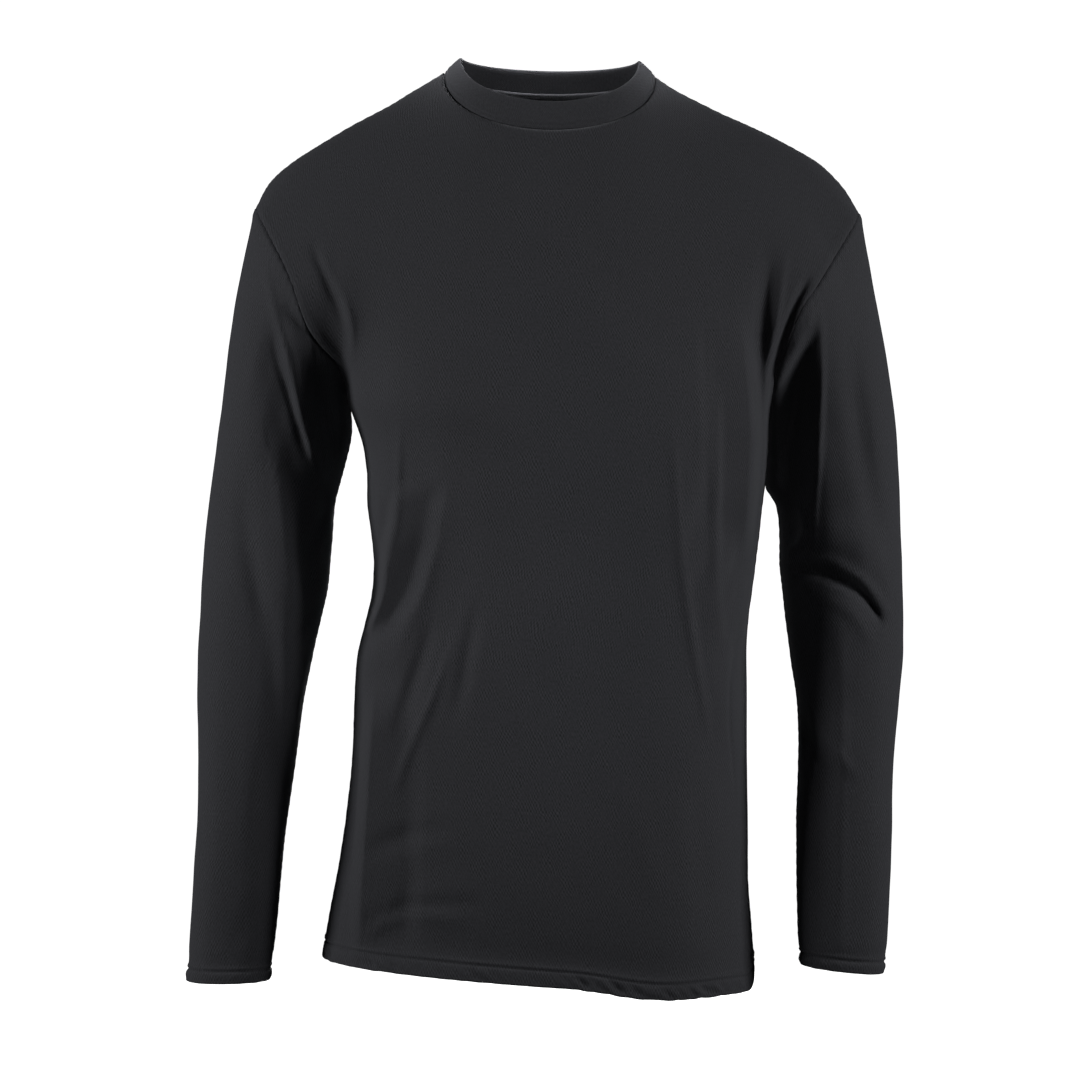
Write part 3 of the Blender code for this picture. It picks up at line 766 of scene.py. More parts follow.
@dataclass(frozen=True)
class Drawing:
    """Draws a fine grid of points through a coarse one.

    Attributes:
        points: the coarse grid, as rows, columns and coordinates.
        closed: whether each row goes all the way round, its last point on its first.
        row_corners: places in the first and last columns where those turn a corner, as row and column.
        column_corners: places in the last row where it turns a corner, as row and column.
    """

    points: np.ndarray
    closed: bool
    row_corners: tuple[tuple[int, int], ...] = ()
    column_corners: tuple[tuple[int, int], ...] = ()

    WRAP = 3

    @staticmethod
    def knots(points: np.ndarray) -> np.ndarray:
        """How far apart the lines along the first axis lie, on average, added up."""
        steps = np.linalg.norm(np.diff(points, axis=0), axis=2).mean(axis=1)
        return np.concatenate([[0.0], np.cumsum(steps)])

    @staticmethod
    def stops(length: float, zones: Sequence[tuple[float, float]]) -> np.ndarray:
        """Places from 0 to a length.

        Args:
            length: the length.
            zones: each stretch's end, as a share of the length, and how far apart its places are.

        Returns:
            The places.
        """
        places, start = [np.zeros(1)], 0.0
        for end, step in zones:
            stretch = (end * length) - start
            places.append(start + np.linspace(0, stretch, round(stretch / step) + 1)[1:])
            start = end * length
        return np.concatenate(places)

    @staticmethod
    def along(
        values: np.ndarray, before: np.ndarray, after: np.ndarray, knots: np.ndarray, stops: np.ndarray
    ) -> np.ndarray:
        """Cubic curves along the first axis.

        Args:
            values: what they pass through.
            before: their slopes on the near side of each knot.
            after: their slopes on its far side.
            knots: where the values stand.
            stops: where to read the curves.

        Returns:
            The values at the stops.
        """
        index = np.clip(np.searchsorted(knots, stops, side="right") - 1, 0, len(knots) - 2)
        shape = (-1,) + (1,) * (values.ndim - 1)
        gap = knots[index + 1] - knots[index]
        t = ((stops - knots[index]) / gap).reshape(shape)
        gap = gap.reshape(shape)
        return cubic(t, gap, (values[index], values[index + 1]), (after[index], before[index + 1]))

    @staticmethod
    def slopes(
        values: np.ndarray, knots: np.ndarray, corners: Sequence[tuple[int, int]]
    ) -> tuple[np.ndarray, np.ndarray]:
        """Slopes along the first axis before and after each knot, which differ only at corners."""
        before = np.gradient(values, knots, axis=0)
        after = before.copy()
        for at, beside in corners:
            before[at, beside] = (values[at, beside] - values[at - 1, beside]) / (knots[at] - knots[at - 1])
            after[at, beside] = (values[at + 1, beside] - values[at, beside]) / (knots[at + 1] - knots[at])
        return before, after

    def fine(
        self, across_zones: Sequence[tuple[float, float]], step: float, hem_step: float, hem: float
    ) -> np.ndarray:
        """Draws the fine grid.

        Args:
            across_zones: how far apart its points are across, as for the places from 0 to a length.
            step: how far apart its rows are.
            hem_step: how far apart its rows are near the bottom edge.
            hem: how high that goes.

        Returns:
            The fine grid's points.
        """
        points = self.points
        if self.closed:
            points = np.concatenate(
                [points[:, -1 - self.WRAP : -1], points, points[:, 1 : 1 + self.WRAP]], axis=1
            )
        turned = points.transpose(1, 0, 2)
        across = self.knots(turned)
        corners = [(column, row) for row, column in self.column_corners]
        before, after = (s.transpose(1, 0, 2) for s in self.slopes(turned, across, corners))
        upward = self.knots(points)
        stops = self.stops(upward[-1], ((hem / upward[-1], hem_step), (1.0, step)))
        rows = self.along(points, *self.slopes(points, upward, self.row_corners), upward, stops)
        before = self.along(before, *self.slopes(before, upward, ()), upward, stops)
        after = self.along(after, *self.slopes(after, upward, ()), upward, stops)
        first, last = (across[self.WRAP], across[-1 - self.WRAP]) if self.closed else (0.0, across[-1])
        stops = first + self.stops(last - first, across_zones)
        turn = (1, 0, 2)
        return self.along(
            rows.transpose(turn), before.transpose(turn), after.transpose(turn), across, stops
        ).transpose(turn)


@dataclass
class Panel:
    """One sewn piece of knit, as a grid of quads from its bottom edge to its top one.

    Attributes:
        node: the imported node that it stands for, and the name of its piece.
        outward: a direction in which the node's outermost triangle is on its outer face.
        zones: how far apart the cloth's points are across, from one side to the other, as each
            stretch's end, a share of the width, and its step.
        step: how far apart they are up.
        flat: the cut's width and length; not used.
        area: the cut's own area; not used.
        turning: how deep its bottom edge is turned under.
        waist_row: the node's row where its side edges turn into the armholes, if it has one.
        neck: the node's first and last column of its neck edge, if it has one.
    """

    node: str
    outward: tuple[float, float, float]
    zones: tuple[tuple[float, float], ...]
    step: float
    flat: tuple[float, float]
    area: float
    turning: float
    waist_row: int = 0
    neck: tuple[int, int] = (0, 0)
    mesh: bmesh.types.BMesh = field(init=False)
    grid: list[list[bmesh.types.BMVert]] = field(init=False, default_factory=list)
    up: np.ndarray = field(init=False)
    down: np.ndarray = field(init=False)
    beside: np.ndarray = field(init=False)
    across: np.ndarray = field(init=False)
    marks: dict[str, int] = field(init=False, default_factory=dict)

    CLOTH = 0.0011
    HEM_STEP = 0.0010
    HEM_ROOM = 0.0080
    ARMHOLE_ROLL = 0.0006
    SIDE_ROLL = 0.0005
    NECK_ROLL = 0.0009
    NECK_ROLL_WIDTH = 0.0045
    ROLL_WIDTH = 0.0018
    NECK_EASE = 0.0100
    RIDGE = 0.0003
    RIDGE_PLACE = 0.0052
    RIDGE_WIDTH = 0.0026
    PUCKER = 0.00020
    STITCH_ROWS = (0.0004, 0.0034)
    STITCH_GROOVE = 0.0013
    STITCH_GROOVE_WIDTH = 0.0011
    HEM_RIDGE = 0.0008
    HEM_RIDGE_PLACE = 0.0026
    HEM_RIDGE_WIDTH = 0.0016
    BAND_RIPPLE = 0.0019
    CUFF_RIPPLE = 0.0010
    CALM_EDGE = 0.0035
    PUCKER_PLACE = 0.075
    PUCKER_REACH = 0.055
    NECK_REACH = 0.00050
    NECK_REACH_WIDTH = 0.003
    CORNER_RISE = 0.0135
    CORNER_WIDTH = 0.021
    FOLD_ROOM = 0.00015
    FOLD_TURNS = tuple(math.pi * step / 4 for step in (1, 2, 3, 4))
    FOLD_STEPS = (0.15, 0.45, 0.75, 1.0)
    FOLD_SHORT = 0.0010
    CUFF_ROOM = 0.060
    SIDE_TURN = 0.35
    SIDE_BLEND = 0.5
    # the scale, shift and height of each layer of unevenness
    SWELLS = ((13.0, (0, 0, 0), 0.0012), (42.0, (7, 3, 1), 0.00030))
    PUCKER_ROOM = 0.008
    PUCKER_LENGTH = 0.0083
    PUCKER_DRIFT = 3
    PUCKER_SWAY = 60
    STITCH_GROOVE_SHARES = (1.0, 0.2)
    CRINKLE_ROOM = 0.004
    BAND_SHORT = 0.0008
    # the puckers' lean and scale across, then up
    SLANT = ((0.9, 105), (0.3, 34))
    SWELL_SCALE = 22
    PUCKER_MORE = 0.7
    # the ripples' base, how much the swell adds, and their least and most
    RIPPLE_RANGE = (0.8, 1.6, 0.3, 2.2)

    @property
    def closed(self) -> bool:
        """Whether the piece goes all the way round, as a sleeve does."""
        return not self.waist_row

    def shape(self) -> None:
        """Draws the cloth over the node's outer wall and lays its creases."""
        wall = Walls.copy(self.node)
        Walls.keep_outer(wall, self.outward)
        Walls.join_to_quads(wall)
        if self.closed:
            self._open_seam(wall)
        coarse = np.array([[point.co[:] for point in row] for row in self._walk(wall)])
        wall.free()
        rows, columns = ((), ())
        if not self.closed:
            rows = ((self.waist_row, 0), (self.waist_row, coarse.shape[1] - 1))
            columns = tuple((len(coarse) - 1, column) for column in self.neck)
        drawing = Drawing(coarse, self.closed, rows, columns)
        points = drawing.fine(self.zones, self.step, self.HEM_STEP, self.turning + self.HEM_ROOM)
        self._mark(coarse, points)
        self._cover(points)
        self._measure()
        self._displace()

    def _mark(self, coarse: np.ndarray, points: np.ndarray) -> None:
        """Notes the fine rows and columns nearest to the node's corners, and puts them on those."""
        if self.closed:
            return
        for name, place, line in (
            ("waist", coarse[self.waist_row, 0], points[:, 0]),
            ("neck_right", coarse[-1, self.neck[0]], points[-1]),
            ("neck_left", coarse[-1, self.neck[1]], points[-1]),
        ):
            self.marks[name] = int(np.linalg.norm(line - place, axis=1).argmin())
            line[self.marks[name]] = place
        points[self.marks["waist"], -1] = coarse[self.waist_row, -1]

    def _cover(self, points: np.ndarray) -> None:
        """Makes the cloth's mesh, a grid laid over the points, facing outward."""
        self.mesh = bmesh.new()
        rows, columns = points.shape[:2]
        made = bmesh.ops.create_grid(
            self.mesh, x_segments=columns - 1, y_segments=rows - 1, size=1.0
        )["verts"]
        self.grid = [[made[0]] * columns for _ in range(rows)]
        for point in made:
            row = round((point.co.y + 1) / 2 * (rows - 1))
            column = round((point.co.x + 1) / 2 * (columns - 1))
            self.grid[row][column] = point
        self._put(points)
        outward = Vector(self.outward)
        outermost = max(self.mesh.faces, key=lambda face: face.calc_center_median().dot(outward))
        if outermost.normal.dot(outward) < 0:
            bmesh.ops.reverse_faces(self.mesh, faces=self.mesh.faces)
        self.mesh.normal_update()

    def _put(self, points: np.ndarray) -> None:
        """Moves the cloth's points to these places."""
        for row, places in zip(self.grid, points):
            for point, place in zip(row, places):
                point.co = place
        self.mesh.normal_update()

    def _open_seam(self, wall: bmesh.types.BMesh) -> None:
        """Cuts a sleeve's wall open along its innermost line, where its seam runs."""
        ends = [point for point in wall.verts if point.is_boundary]
        low = min(point.co.z for point in ends)
        cuff = [point for point in ends if point.co.z < low + self.CUFF_ROOM]
        here = min(cuff, key=lambda point: abs(point.co.x))
        seam, done = [], set(cuff)
        while True:
            ahead = [point for point in neighbours(here) if point not in done]
            if not ahead:
                break
            step = ahead[0]
            seam.append(next(edge for edge in here.link_edges if edge.other_vert(here) is step))
            ring, queue = {step}, [step]
            while queue:
                for point in neighbours(queue.pop()):
                    beside = any(other in done for other in neighbours(point))
                    if point not in ring and point not in done and beside:
                        ring.add(point)
                        queue.append(point)
            done |= ring
            here = step
        bmesh.ops.split_edges(wall, edges=seam)

    def _walk(self, wall: bmesh.types.BMesh) -> list[list[bmesh.types.BMVert]]:
        """A wall's points, row by row from the bottom edge.

        Args:
            wall: the wall, as quads.

        Returns:
            Rows of points, each from the wearer's right to the left on a body panel, and from the
            seam round by way of the front on a sleeve.
        """
        corners = [point for point in wall.verts if len(point.link_edges) == 2]
        corners.sort(key=lambda point: point.co.z)

        def along(corner: bmesh.types.BMVert) -> bmesh.types.BMVert:
            """The next point along the bottom edge."""
            return min(neighbours(corner), key=lambda point: abs(point.co.z - corner.co.z))

        if self.closed:
            start = min(corners[:2], key=lambda corner: along(corner).co.y)
        else:
            start = min(corners[:2], key=lambda corner: corner.co.x)
        row = [start, along(start)]
        while len(row[-1].link_edges) > 2:
            sides = [edge for edge in row[-1].link_edges if edge.is_boundary]
            row.append(
                next(p for p in (edge.other_vert(row[-1]) for edge in sides) if p is not row[-2])
            )
        rows, done = [row], set(row)
        while True:
            above = [[p for p in neighbours(point) if p not in done] for point in rows[-1]]
            if not all(above):
                return rows
            rows.append([found[0] for found in above])
            done.update(rows[-1])

    def _measure(self) -> None:
        """Measures each point's place on the cut cloth, in metres."""
        points = self.points()
        steps = np.linalg.norm(np.diff(points, axis=1), axis=2)
        across = np.pad(np.cumsum(steps, axis=1), ((0, 0), (1, 0)))
        steps = np.linalg.norm(np.diff(points, axis=0), axis=2)
        self.up = np.pad(np.cumsum(steps, axis=0), ((1, 0), (0, 0)))
        self.down = self.up[-1:] - self.up
        self.beside = np.minimum(across, across[:, -1:] - across)
        self.across = across - across[:, [points.shape[1] // 2]]

    def points(self) -> np.ndarray:
        """The grid's points as rows, columns and coordinates."""
        return np.array([[point.co[:] for point in row] for row in self.grid])

    def normals(self) -> np.ndarray:
        """The grid's outward directions."""
        normals = np.array([[point.normal[:] for point in row] for row in self.grid])
        if self.closed:
            normals[:, 0] = normals[:, -1] = normals[:, [0, -1]].mean(axis=1)
        return normals

    def _displace(self) -> None:
        """Moves the cloth out and in: creases, unevenness, seams and stitched turnings."""
        points, normals = self.points(), self.normals()
        seen = points.reshape(-1, 3)[:, [0, 2]]
        lift = self._unevenness(points) + self._seam_relief()
        push = np.zeros(lift.shape)
        for facing, creases in CREASES[self.node].items():
            side = 1.0
            if self.closed:
                turned = facing.value * normals[..., 1] + self.SIDE_TURN
                side = np.clip(turned / self.SIDE_BLEND, 0, 1)
            for crease in creases:
                height = crease.lift(seen).reshape(lift.shape) * side
                if crease.swell:
                    lift += height
                else:
                    push += facing.value * height
        if self.node == "front":
            push += sum(ledge.push(points.reshape(-1, 3)) for ledge in FRONT_LEDGES).reshape(push.shape)
        moved = points + normals * lift[..., None]
        moved[..., 1] += push
        if not self.closed:
            self._reach_collar(moved)
            self._round_corner(moved)
        self._put(moved)

    def _reach_collar(self, points: np.ndarray) -> None:
        """Brings the neck edge up to the collar band."""
        low, high = self.marks["neck_right"], self.marks["neck_left"] + 1
        toward = unit(points[-1, low:high] - points[-2, low:high])
        near = bell(self.down[:, low:high], self.NECK_REACH_WIDTH)
        points[:, low:high] += self.NECK_REACH * near[..., None] * toward[None]

    def _round_corner(self, points: np.ndarray) -> None:
        """Lets the bottom edge rise in a soft curve to the wearer's left side seam."""
        from_side = self.across[:, -1:] - self.across
        rise = self.CORNER_RISE * bell(from_side, self.CORNER_WIDTH)
        points[..., 2] += rise * bell(self.up, 3 * self.CORNER_WIDTH)

    def _unevenness(self, points: np.ndarray) -> np.ndarray:
        """Soft slow swells, as filled-out cloth has."""
        places = [Vector(point) for point in points.reshape(-1, 3)]
        swells = [
            np.array([noise.noise(place * scale + Vector(shift)) for place in places]) * height
            for scale, shift, height in self.SWELLS
        ]
        return sum(swells).reshape(points.shape[:2])

    def _seam_relief(self) -> np.ndarray:
        """The rolled edges at the seams, the ridge of the seam's turnings, and the stitched hem."""
        up, down, beside, across = self.up, self.down, self.beside, self.across
        seam = np.minimum(beside, down)
        roll, width = self._roll()
        lift = -roll * bell(seam, width) + self.RIDGE * bell(seam - self.RIDGE_PLACE, self.RIDGE_WIDTH)
        run = np.where(beside < down, up, across)
        near = bell(seam, self.PUCKER_ROOM) * np.clip(roll / self.SIDE_ROLL, 0, 1)
        turn = run * 2 * math.pi / self.PUCKER_LENGTH + self.PUCKER_DRIFT * np.sin(run * self.PUCKER_SWAY)
        lift += self.PUCKER * near * np.sin(turn)
        for offset, share in zip(self.STITCH_ROWS, self.STITCH_GROOVE_SHARES):
            lift -= share * self.STITCH_GROOVE * bell(up - self.turning - offset, self.STITCH_GROOVE_WIDTH)
        lift += self.HEM_RIDGE * bell(up - self.turning - self.HEM_RIDGE_PLACE, self.HEM_RIDGE_WIDTH)
        return lift + self._crinkle(up, across) * (beside > self.CRINKLE_ROOM)

    def _roll(self) -> tuple[np.ndarray, np.ndarray]:
        """How deep and how wide the nearest edge rolls into its seam."""
        roll = np.full(self.up.shape, self.ARMHOLE_ROLL)
        width = np.full(self.up.shape, self.ROLL_WIDTH)
        if self.closed:
            return np.where(self.beside < self.down, self.SIDE_ROLL, roll), width
        roll[: self.marks["waist"]] = self.SIDE_ROLL
        top = self.across[-1]
        right, left = (top[self.marks[name]] for name in ("neck_right", "neck_left"))
        away = np.clip(np.maximum(right - top, top - left) / self.NECK_EASE, 0, 1)
        toward_top = self.down < self.beside
        depth = self.NECK_ROLL + (self.ARMHOLE_ROLL - self.NECK_ROLL) * away
        spread = self.NECK_ROLL_WIDTH + (self.ROLL_WIDTH - self.NECK_ROLL_WIDTH) * away
        return np.where(toward_top, depth[None, :], roll), np.where(toward_top, spread[None, :], width)

    def _crinkle(self, up: np.ndarray, across: np.ndarray) -> np.ndarray:
        """The slanting puckers of the turned band below its stitching."""
        band = np.clip(1 - (up / (self.turning - self.BAND_SHORT)) ** 4, 0, 1)
        (lean, across_scale), (rise, up_scale) = self.SLANT
        slanted = (across + lean * up) * across_scale, (up - rise * across) * up_scale
        puckers = np.array([
            share and noise.noise(Vector((side, height, 5)))
            for side, height, share in zip(slanted[0].ravel(), slanted[1].ravel(), band.ravel())
        ]).reshape(up.shape)
        band *= np.clip(up / self.CALM_EDGE, 0, 1)
        swell = np.array([noise.noise(Vector((side * self.SWELL_SCALE, 3, 9))) for side in across[0]])
        swell += self.PUCKER_MORE * bell(across[0] - self.PUCKER_PLACE, self.PUCKER_REACH)
        ripple = self.CUFF_RIPPLE if self.closed else self.BAND_RIPPLE
        base, gain, least, most = self.RIPPLE_RANGE
        return ripple * band * puckers * np.clip(base + gain * swell, least, most)

    def line_at(self, height: float) -> tuple[np.ndarray, np.ndarray]:
        """A line across the piece at one height above its bottom edge.

        Args:
            height: how far above the bottom edge, along the cloth.

        Returns:
            Its points and their outward directions.
        """
        up, points, normals = self.up, self.points(), self.normals()
        places, facings = [], []
        for column in range(up.shape[1]):
            row = int(np.searchsorted(up[:, column], height))
            low, high = up[row - 1, column], up[row, column]
            share = (height - low) / (high - low)
            places.append(points[row - 1, column] * (1 - share) + points[row, column] * share)
            facings.append(normals[row - 1, column] * (1 - share) + normals[row, column] * share)
        return np.array(places), np.array(facings)

    def stitch_lines(self) -> list[tuple[np.ndarray, np.ndarray]]:
        """The lines that the turning is stitched down along, with their outward directions."""
        return [self.line_at(self.turning + offset) for offset in self.STITCH_ROWS]

    def finish(self, material: bpy.types.Material) -> bpy.types.Object:
        """Turns the bottom edge under, gives the cloth its thickness and dresses it."""
        self._turn_under()
        self._unwrap()
        if self.closed:
            self._close_seam()
        self.mesh.normal_update()
        piece = smooth_object(f"{self.node}_cloth", self.mesh, material)
        thicken(piece, self.CLOTH, -1)
        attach(piece, "root")
        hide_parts(self.node)
        return piece

    def _turn_under(self) -> None:
        """Folds the bottom edge under by way of a round fold, and lays it up the inside."""
        gap = 2 * self.CLOTH + self.FOLD_ROOM
        outer, outward = self.points(), self.normals()
        down = unit(outer[0] - outer[1])
        rows = [
            outer[0] - outward[0] * gap * (1 - math.cos(turn)) / 2 + down * gap * math.sin(turn) / 2
            for turn in self.FOLD_TURNS
        ]
        for share in self.FOLD_STEPS:
            places, facings = self.line_at(share * (self.turning - self.FOLD_SHORT))
            rows.append(places - facings * gap)
        last, run = outer[0], self.up[0].copy()
        for places in rows:
            chain = self.grid[0]
            edges = [
                next(edge for edge in one.link_edges if edge.other_vert(one) is two)
                for one, two in zip(chain, chain[1:])
            ]
            row, _ = extruded(self.mesh, chain, edges, places)
            run = run - np.linalg.norm(places - last, axis=1)
            last = places
            self.grid.insert(0, row)
            self.up = np.vstack([run, self.up])
            self.across = np.vstack([self.across[0], self.across])

    def _unwrap(self) -> None:
        """Gives the cloth its own map: the place on the cut piece, in metres."""
        cut = self.mesh.loops.layers.uv.new("cut")
        for row, sides, heights in zip(self.grid, self.across, self.up):
            for point, side, height in zip(row, sides, heights):
                for corner in point.link_loops:
                    corner[cut].uv = (side, height)

    def _close_seam(self) -> None:
        """Joins the two sides of a sleeve's seam."""
        for row in self.grid:
            row[0].co = (row[0].co + row[-1].co) / 2
        joined = {row[-1]: row[0] for row in self.grid}
        bmesh.ops.weld_verts(self.mesh, targetmap=joined)


BAND_LEAN = 0.48


def band_directions(seam: np.ndarray, places: np.ndarray) -> tuple[np.ndarray, np.ndarray]:
    """Which way the neck's middle lies, level, and which way the collar band rises.

    Args:
        seam: points along the neck seam, all round.
        places: where to tell them for.

    Returns:
        Both directions at each place. The band leans in by BAND_LEAN of its rise.
    """
    middle = (seam.min(axis=0) + seam.max(axis=0)) / 2
    inward = unit((middle - places) * (1, 1, 0))
    return inward, unit(inward * BAND_LEAN + (0, 0, 1))


@dataclass
class Collar:
    """The doubled neck band, topstitched above its seam.

    Attributes:
        seam: points along the neck seam, all round.
    """

    seam: np.ndarray
    mesh: bmesh.types.BMesh = field(init=False)
    topstitch: tuple[np.ndarray, np.ndarray] = field(init=False)
    NODE = "collar"
    LEVELS = 3
    RIB = 0.0013
    LOWER_EDGE = 0.0009
    STITCH_PLACE = 0.0042
    GROOVE = 0.00035
    GROOVE_WIDTH = 0.0010
    WELT = 0.00030
    WELT_PLACE = 0.0060
    WELT_WIDTH = 0.0013
    TURN = 3
    CLEAR = 0.002
    STOPS = 181
    NEAR_STOP = 0.06
    UNDER = -0.1

    def build(self, material: bpy.types.Material) -> bpy.types.Object:
        """Makes the band from its node, rounded and mapped round the neck."""
        self.mesh = Walls.copy(self.NODE)
        Walls.join_to_quads(self.mesh)
        crease = self.mesh.edges.layers.float.new("crease_edge")
        for edge in self.mesh.edges:
            faces = edge.link_faces
            if len(faces) == 2 and edge.calc_length() > 3 * self.LOWER_EDGE:
                narrow = min(side.calc_length() for face in faces for side in face.edges) < self.LOWER_EDGE
                if narrow and min(face.normal.z for face in faces) < self.UNDER:
                    edge[crease] = 1.0
        coarse = smooth_object("collar_coarse", self.mesh)
        smooth = coarse.modifiers.new("smooth", "SUBSURF")
        smooth.levels = smooth.render_levels = self.LEVELS
        self.mesh = bmesh.new()
        self.mesh.from_object(coarse, bpy.context.evaluated_depsgraph_get())
        bpy.data.objects.remove(coarse)
        self._stitch_down()
        self._unwrap()
        piece = smooth_object("collar_band", self.mesh, material)
        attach(piece, "root")
        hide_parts(self.NODE)
        return piece

    def _stitch_down(self) -> None:
        """Sinks a line of topstitching into the outer face, and notes where it runs."""
        seam = evenly(np.concatenate([self.seam, self.seam[:1]]), 4 * len(self.seam))
        tree = KDTree(len(seam))
        for number, place in enumerate(seam):
            tree.insert(place, number)
        tree.balance()
        self.mesh.normal_update()
        inward, _ = band_directions(self.seam, np.array([point.co[:] for point in self.mesh.verts]))
        for point, toward in zip(self.mesh.verts, inward):
            outer = -point.normal.dot(Vector(toward))
            away = tree.find(point.co)[2]
            groove = self.GROOVE * bell(away - self.STITCH_PLACE, self.GROOVE_WIDTH)
            welt = self.WELT * bell(away - self.WELT_PLACE, self.WELT_WIDTH)
            point.co += point.normal * float(welt - groove) * min(max(outer * self.TURN, 0.0), 1.0)
        self.mesh.normal_update()
        toward, upward = band_directions(self.seam, seam)
        skin = BVHTree.FromBMesh(self.mesh)
        found = [skin.find_nearest(p) for p in seam + upward * self.STITCH_PLACE - toward * self.CLEAR]
        self.topstitch = (np.array([hit[0][:] for hit in found]), np.array([hit[1][:] for hit in found]))

    def _unwrap(self) -> None:
        """Maps the band: round the neck from the middle of the back, and up its height."""
        low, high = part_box(self.NODE)
        middle = (low + high) / 2
        turns = np.array([
            math.atan2(p.co.x - middle.x, middle.y - p.co.y) for p in self.mesh.verts
        ])
        places = np.array([p.co[:2] for p in self.mesh.verts])
        stops = np.linspace(-math.pi, math.pi, self.STOPS)
        radii = np.hypot(places[:, 0] - middle.x, places[:, 1] - middle.y)
        away = (np.abs((turns - stop + math.pi) % (2 * math.pi) - math.pi) for stop in stops)
        mean = np.array([radii[angles < self.NEAR_STOP].mean() for angles in away])
        run = run_along(np.stack([mean * np.sin(stops), -mean * np.cos(stops)], axis=1))
        whole = round(run[-1] / self.RIB) * self.RIB
        round_it = np.interp(turns, stops, run) * (whole / run[-1])
        cut = self.mesh.loops.layers.uv.new("cut")
        self.mesh.verts.index_update()
        for face in self.mesh.faces:
            spread = [round_it[corner.vert.index] for corner in face.loops]
            wraps = max(spread) - min(spread) > whole / 2
            for corner, place in zip(face.loops, spread):
                corner[cut].uv = (place + (whole if wraps and place < whole / 2 else 0), corner.vert.co.z)


# ---------------------------------------------------------------------------
# Sewing
# ---------------------------------------------------------------------------


@dataclass
class StitchRow:
    """A row of stitches along a line on the cloth."""

    length: float = 0.0027
    space: float = 0.0007
    radius: float = 0.00016
    proud: float = 0.00006
    sink: float = 0.0004

    SHARES = (0.0, 0.18, 0.5, 0.82, 1.0)
    SHOULDER = 0.7

    def sew(self, curve: bpy.types.Curve, line: np.ndarray, outward: np.ndarray) -> None:
        """Adds the row's stitches to a curve, one spline for each.

        Args:
            curve: the curve that gets them.
            line: the line that they follow.
            outward: the cloth's outward directions along it.
        """
        run = run_along(line)
        pitch = self.length + self.space
        shoulder = self.proud * self.SHOULDER
        lift = np.array([-self.sink, shoulder, self.proud, shoulder, -self.sink])
        for number in range(int(run[-1] / pitch)):
            start = number * pitch + self.space / 2
            at = start + self.length * np.array(self.SHARES)
            places = read_at(line, run, at) + read_at(outward, run, at) * lift[:, None]
            stitch = curve.splines.new("POLY")
            stitch.points.add(len(places) - 1)
            for point, place in zip(stitch.points, places):
                point.co = (*place, 1.0)


def stitched_piece(
    name: str, rows: Sequence[tuple[np.ndarray, np.ndarray]], material: bpy.types.Material
) -> bpy.types.Object:
    """Makes one mesh of all the stitches along some lines.

    Args:
        name: the piece's name.
        rows: each line and the cloth's outward directions along it.
        material: the thread.

    Returns:
        The piece.
    """
    sewing = StitchRow()
    curve = bpy.data.curves.new(name, "CURVE")
    curve.dimensions = "3D"
    curve.bevel_depth = sewing.radius
    curve.bevel_resolution = 1
    curve.use_fill_caps = True
    for line, outward in rows:
        sewing.sew(curve, line, outward)
    thread = linked(bpy.data.objects.new(f"{name}_curve", curve))
    drawn = bpy.data.meshes.new_from_object(thread.evaluated_get(bpy.context.evaluated_depsgraph_get()))
    bpy.data.objects.remove(thread)
    mesh = bmesh.new()
    mesh.from_mesh(drawn)
    bpy.data.meshes.remove(drawn)
    bmesh.ops.remove_doubles(mesh, verts=mesh.verts, dist=Walls.MERGE / 10)
    piece = smooth_object(name, mesh, material)
    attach(piece, "root")
    return piece


class Ribbons:
    """Strips of cloth laid along lines inside the top."""

    LEVEL = 0.002

    def __init__(self, name: str, thickness: float) -> None:
        """Starts an empty piece.

        Args:
            name: the piece's name.
            thickness: how thick its strips are.
        """
        self.name = name
        self.thickness = thickness
        self.mesh = bmesh.new()
        self.cut = self.mesh.loops.layers.uv.new("cut")

    def add(self, rows: Sequence[np.ndarray], closed: bool = False) -> None:
        """Adds a strip.

        Args:
            rows: its lines of points from one side to the other, all of one length.
            closed: whether it closes into a ring.
        """
        chain = [self.mesh.verts.new(place) for place in rows[0]]
        chains = [chain]
        ahead = chain[1:] + chain[:1] if closed else chain[1:]
        edges = [self.mesh.edges.new(pair) for pair in zip(chain, ahead)]
        for row in rows[1:]:
            chain, edges = extruded(self.mesh, chain, edges, row)
            chains.append(chain)
        self._map(chains, closed)

    def _map(self, chains: Sequence[Sequence[bmesh.types.BMVert]], closed: bool) -> None:
        """Maps a strip by its run and its width, in metres."""
        line = np.array([point.co[:] for point in chains[len(chains) // 2]])
        run = run_along(line)
        whole = run[-1] + (np.linalg.norm(line[0] - line[-1]) if closed else 0.0)
        for level, chain in enumerate(chains):
            for point, along in zip(chain, run):
                for corner in point.link_loops:
                    middle = corner.face.calc_center_median()
                    behind = (middle - chain[-1].co).length < (middle - chain[1].co).length
                    last = closed and along == 0.0 and behind
                    corner[self.cut].uv = (whole if last else along, level * self.LEVEL)

    def finish(self, material: bpy.types.Material, slot: Slot = Slot.KNIT) -> bpy.types.Object:
        """Thickens the strips and makes the piece."""
        bmesh.ops.recalc_face_normals(self.mesh, faces=self.mesh.faces)
        piece = smooth_object(self.name, self.mesh, material)
        thicken(piece, self.thickness, 0)
        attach(piece, "root")
        return piece


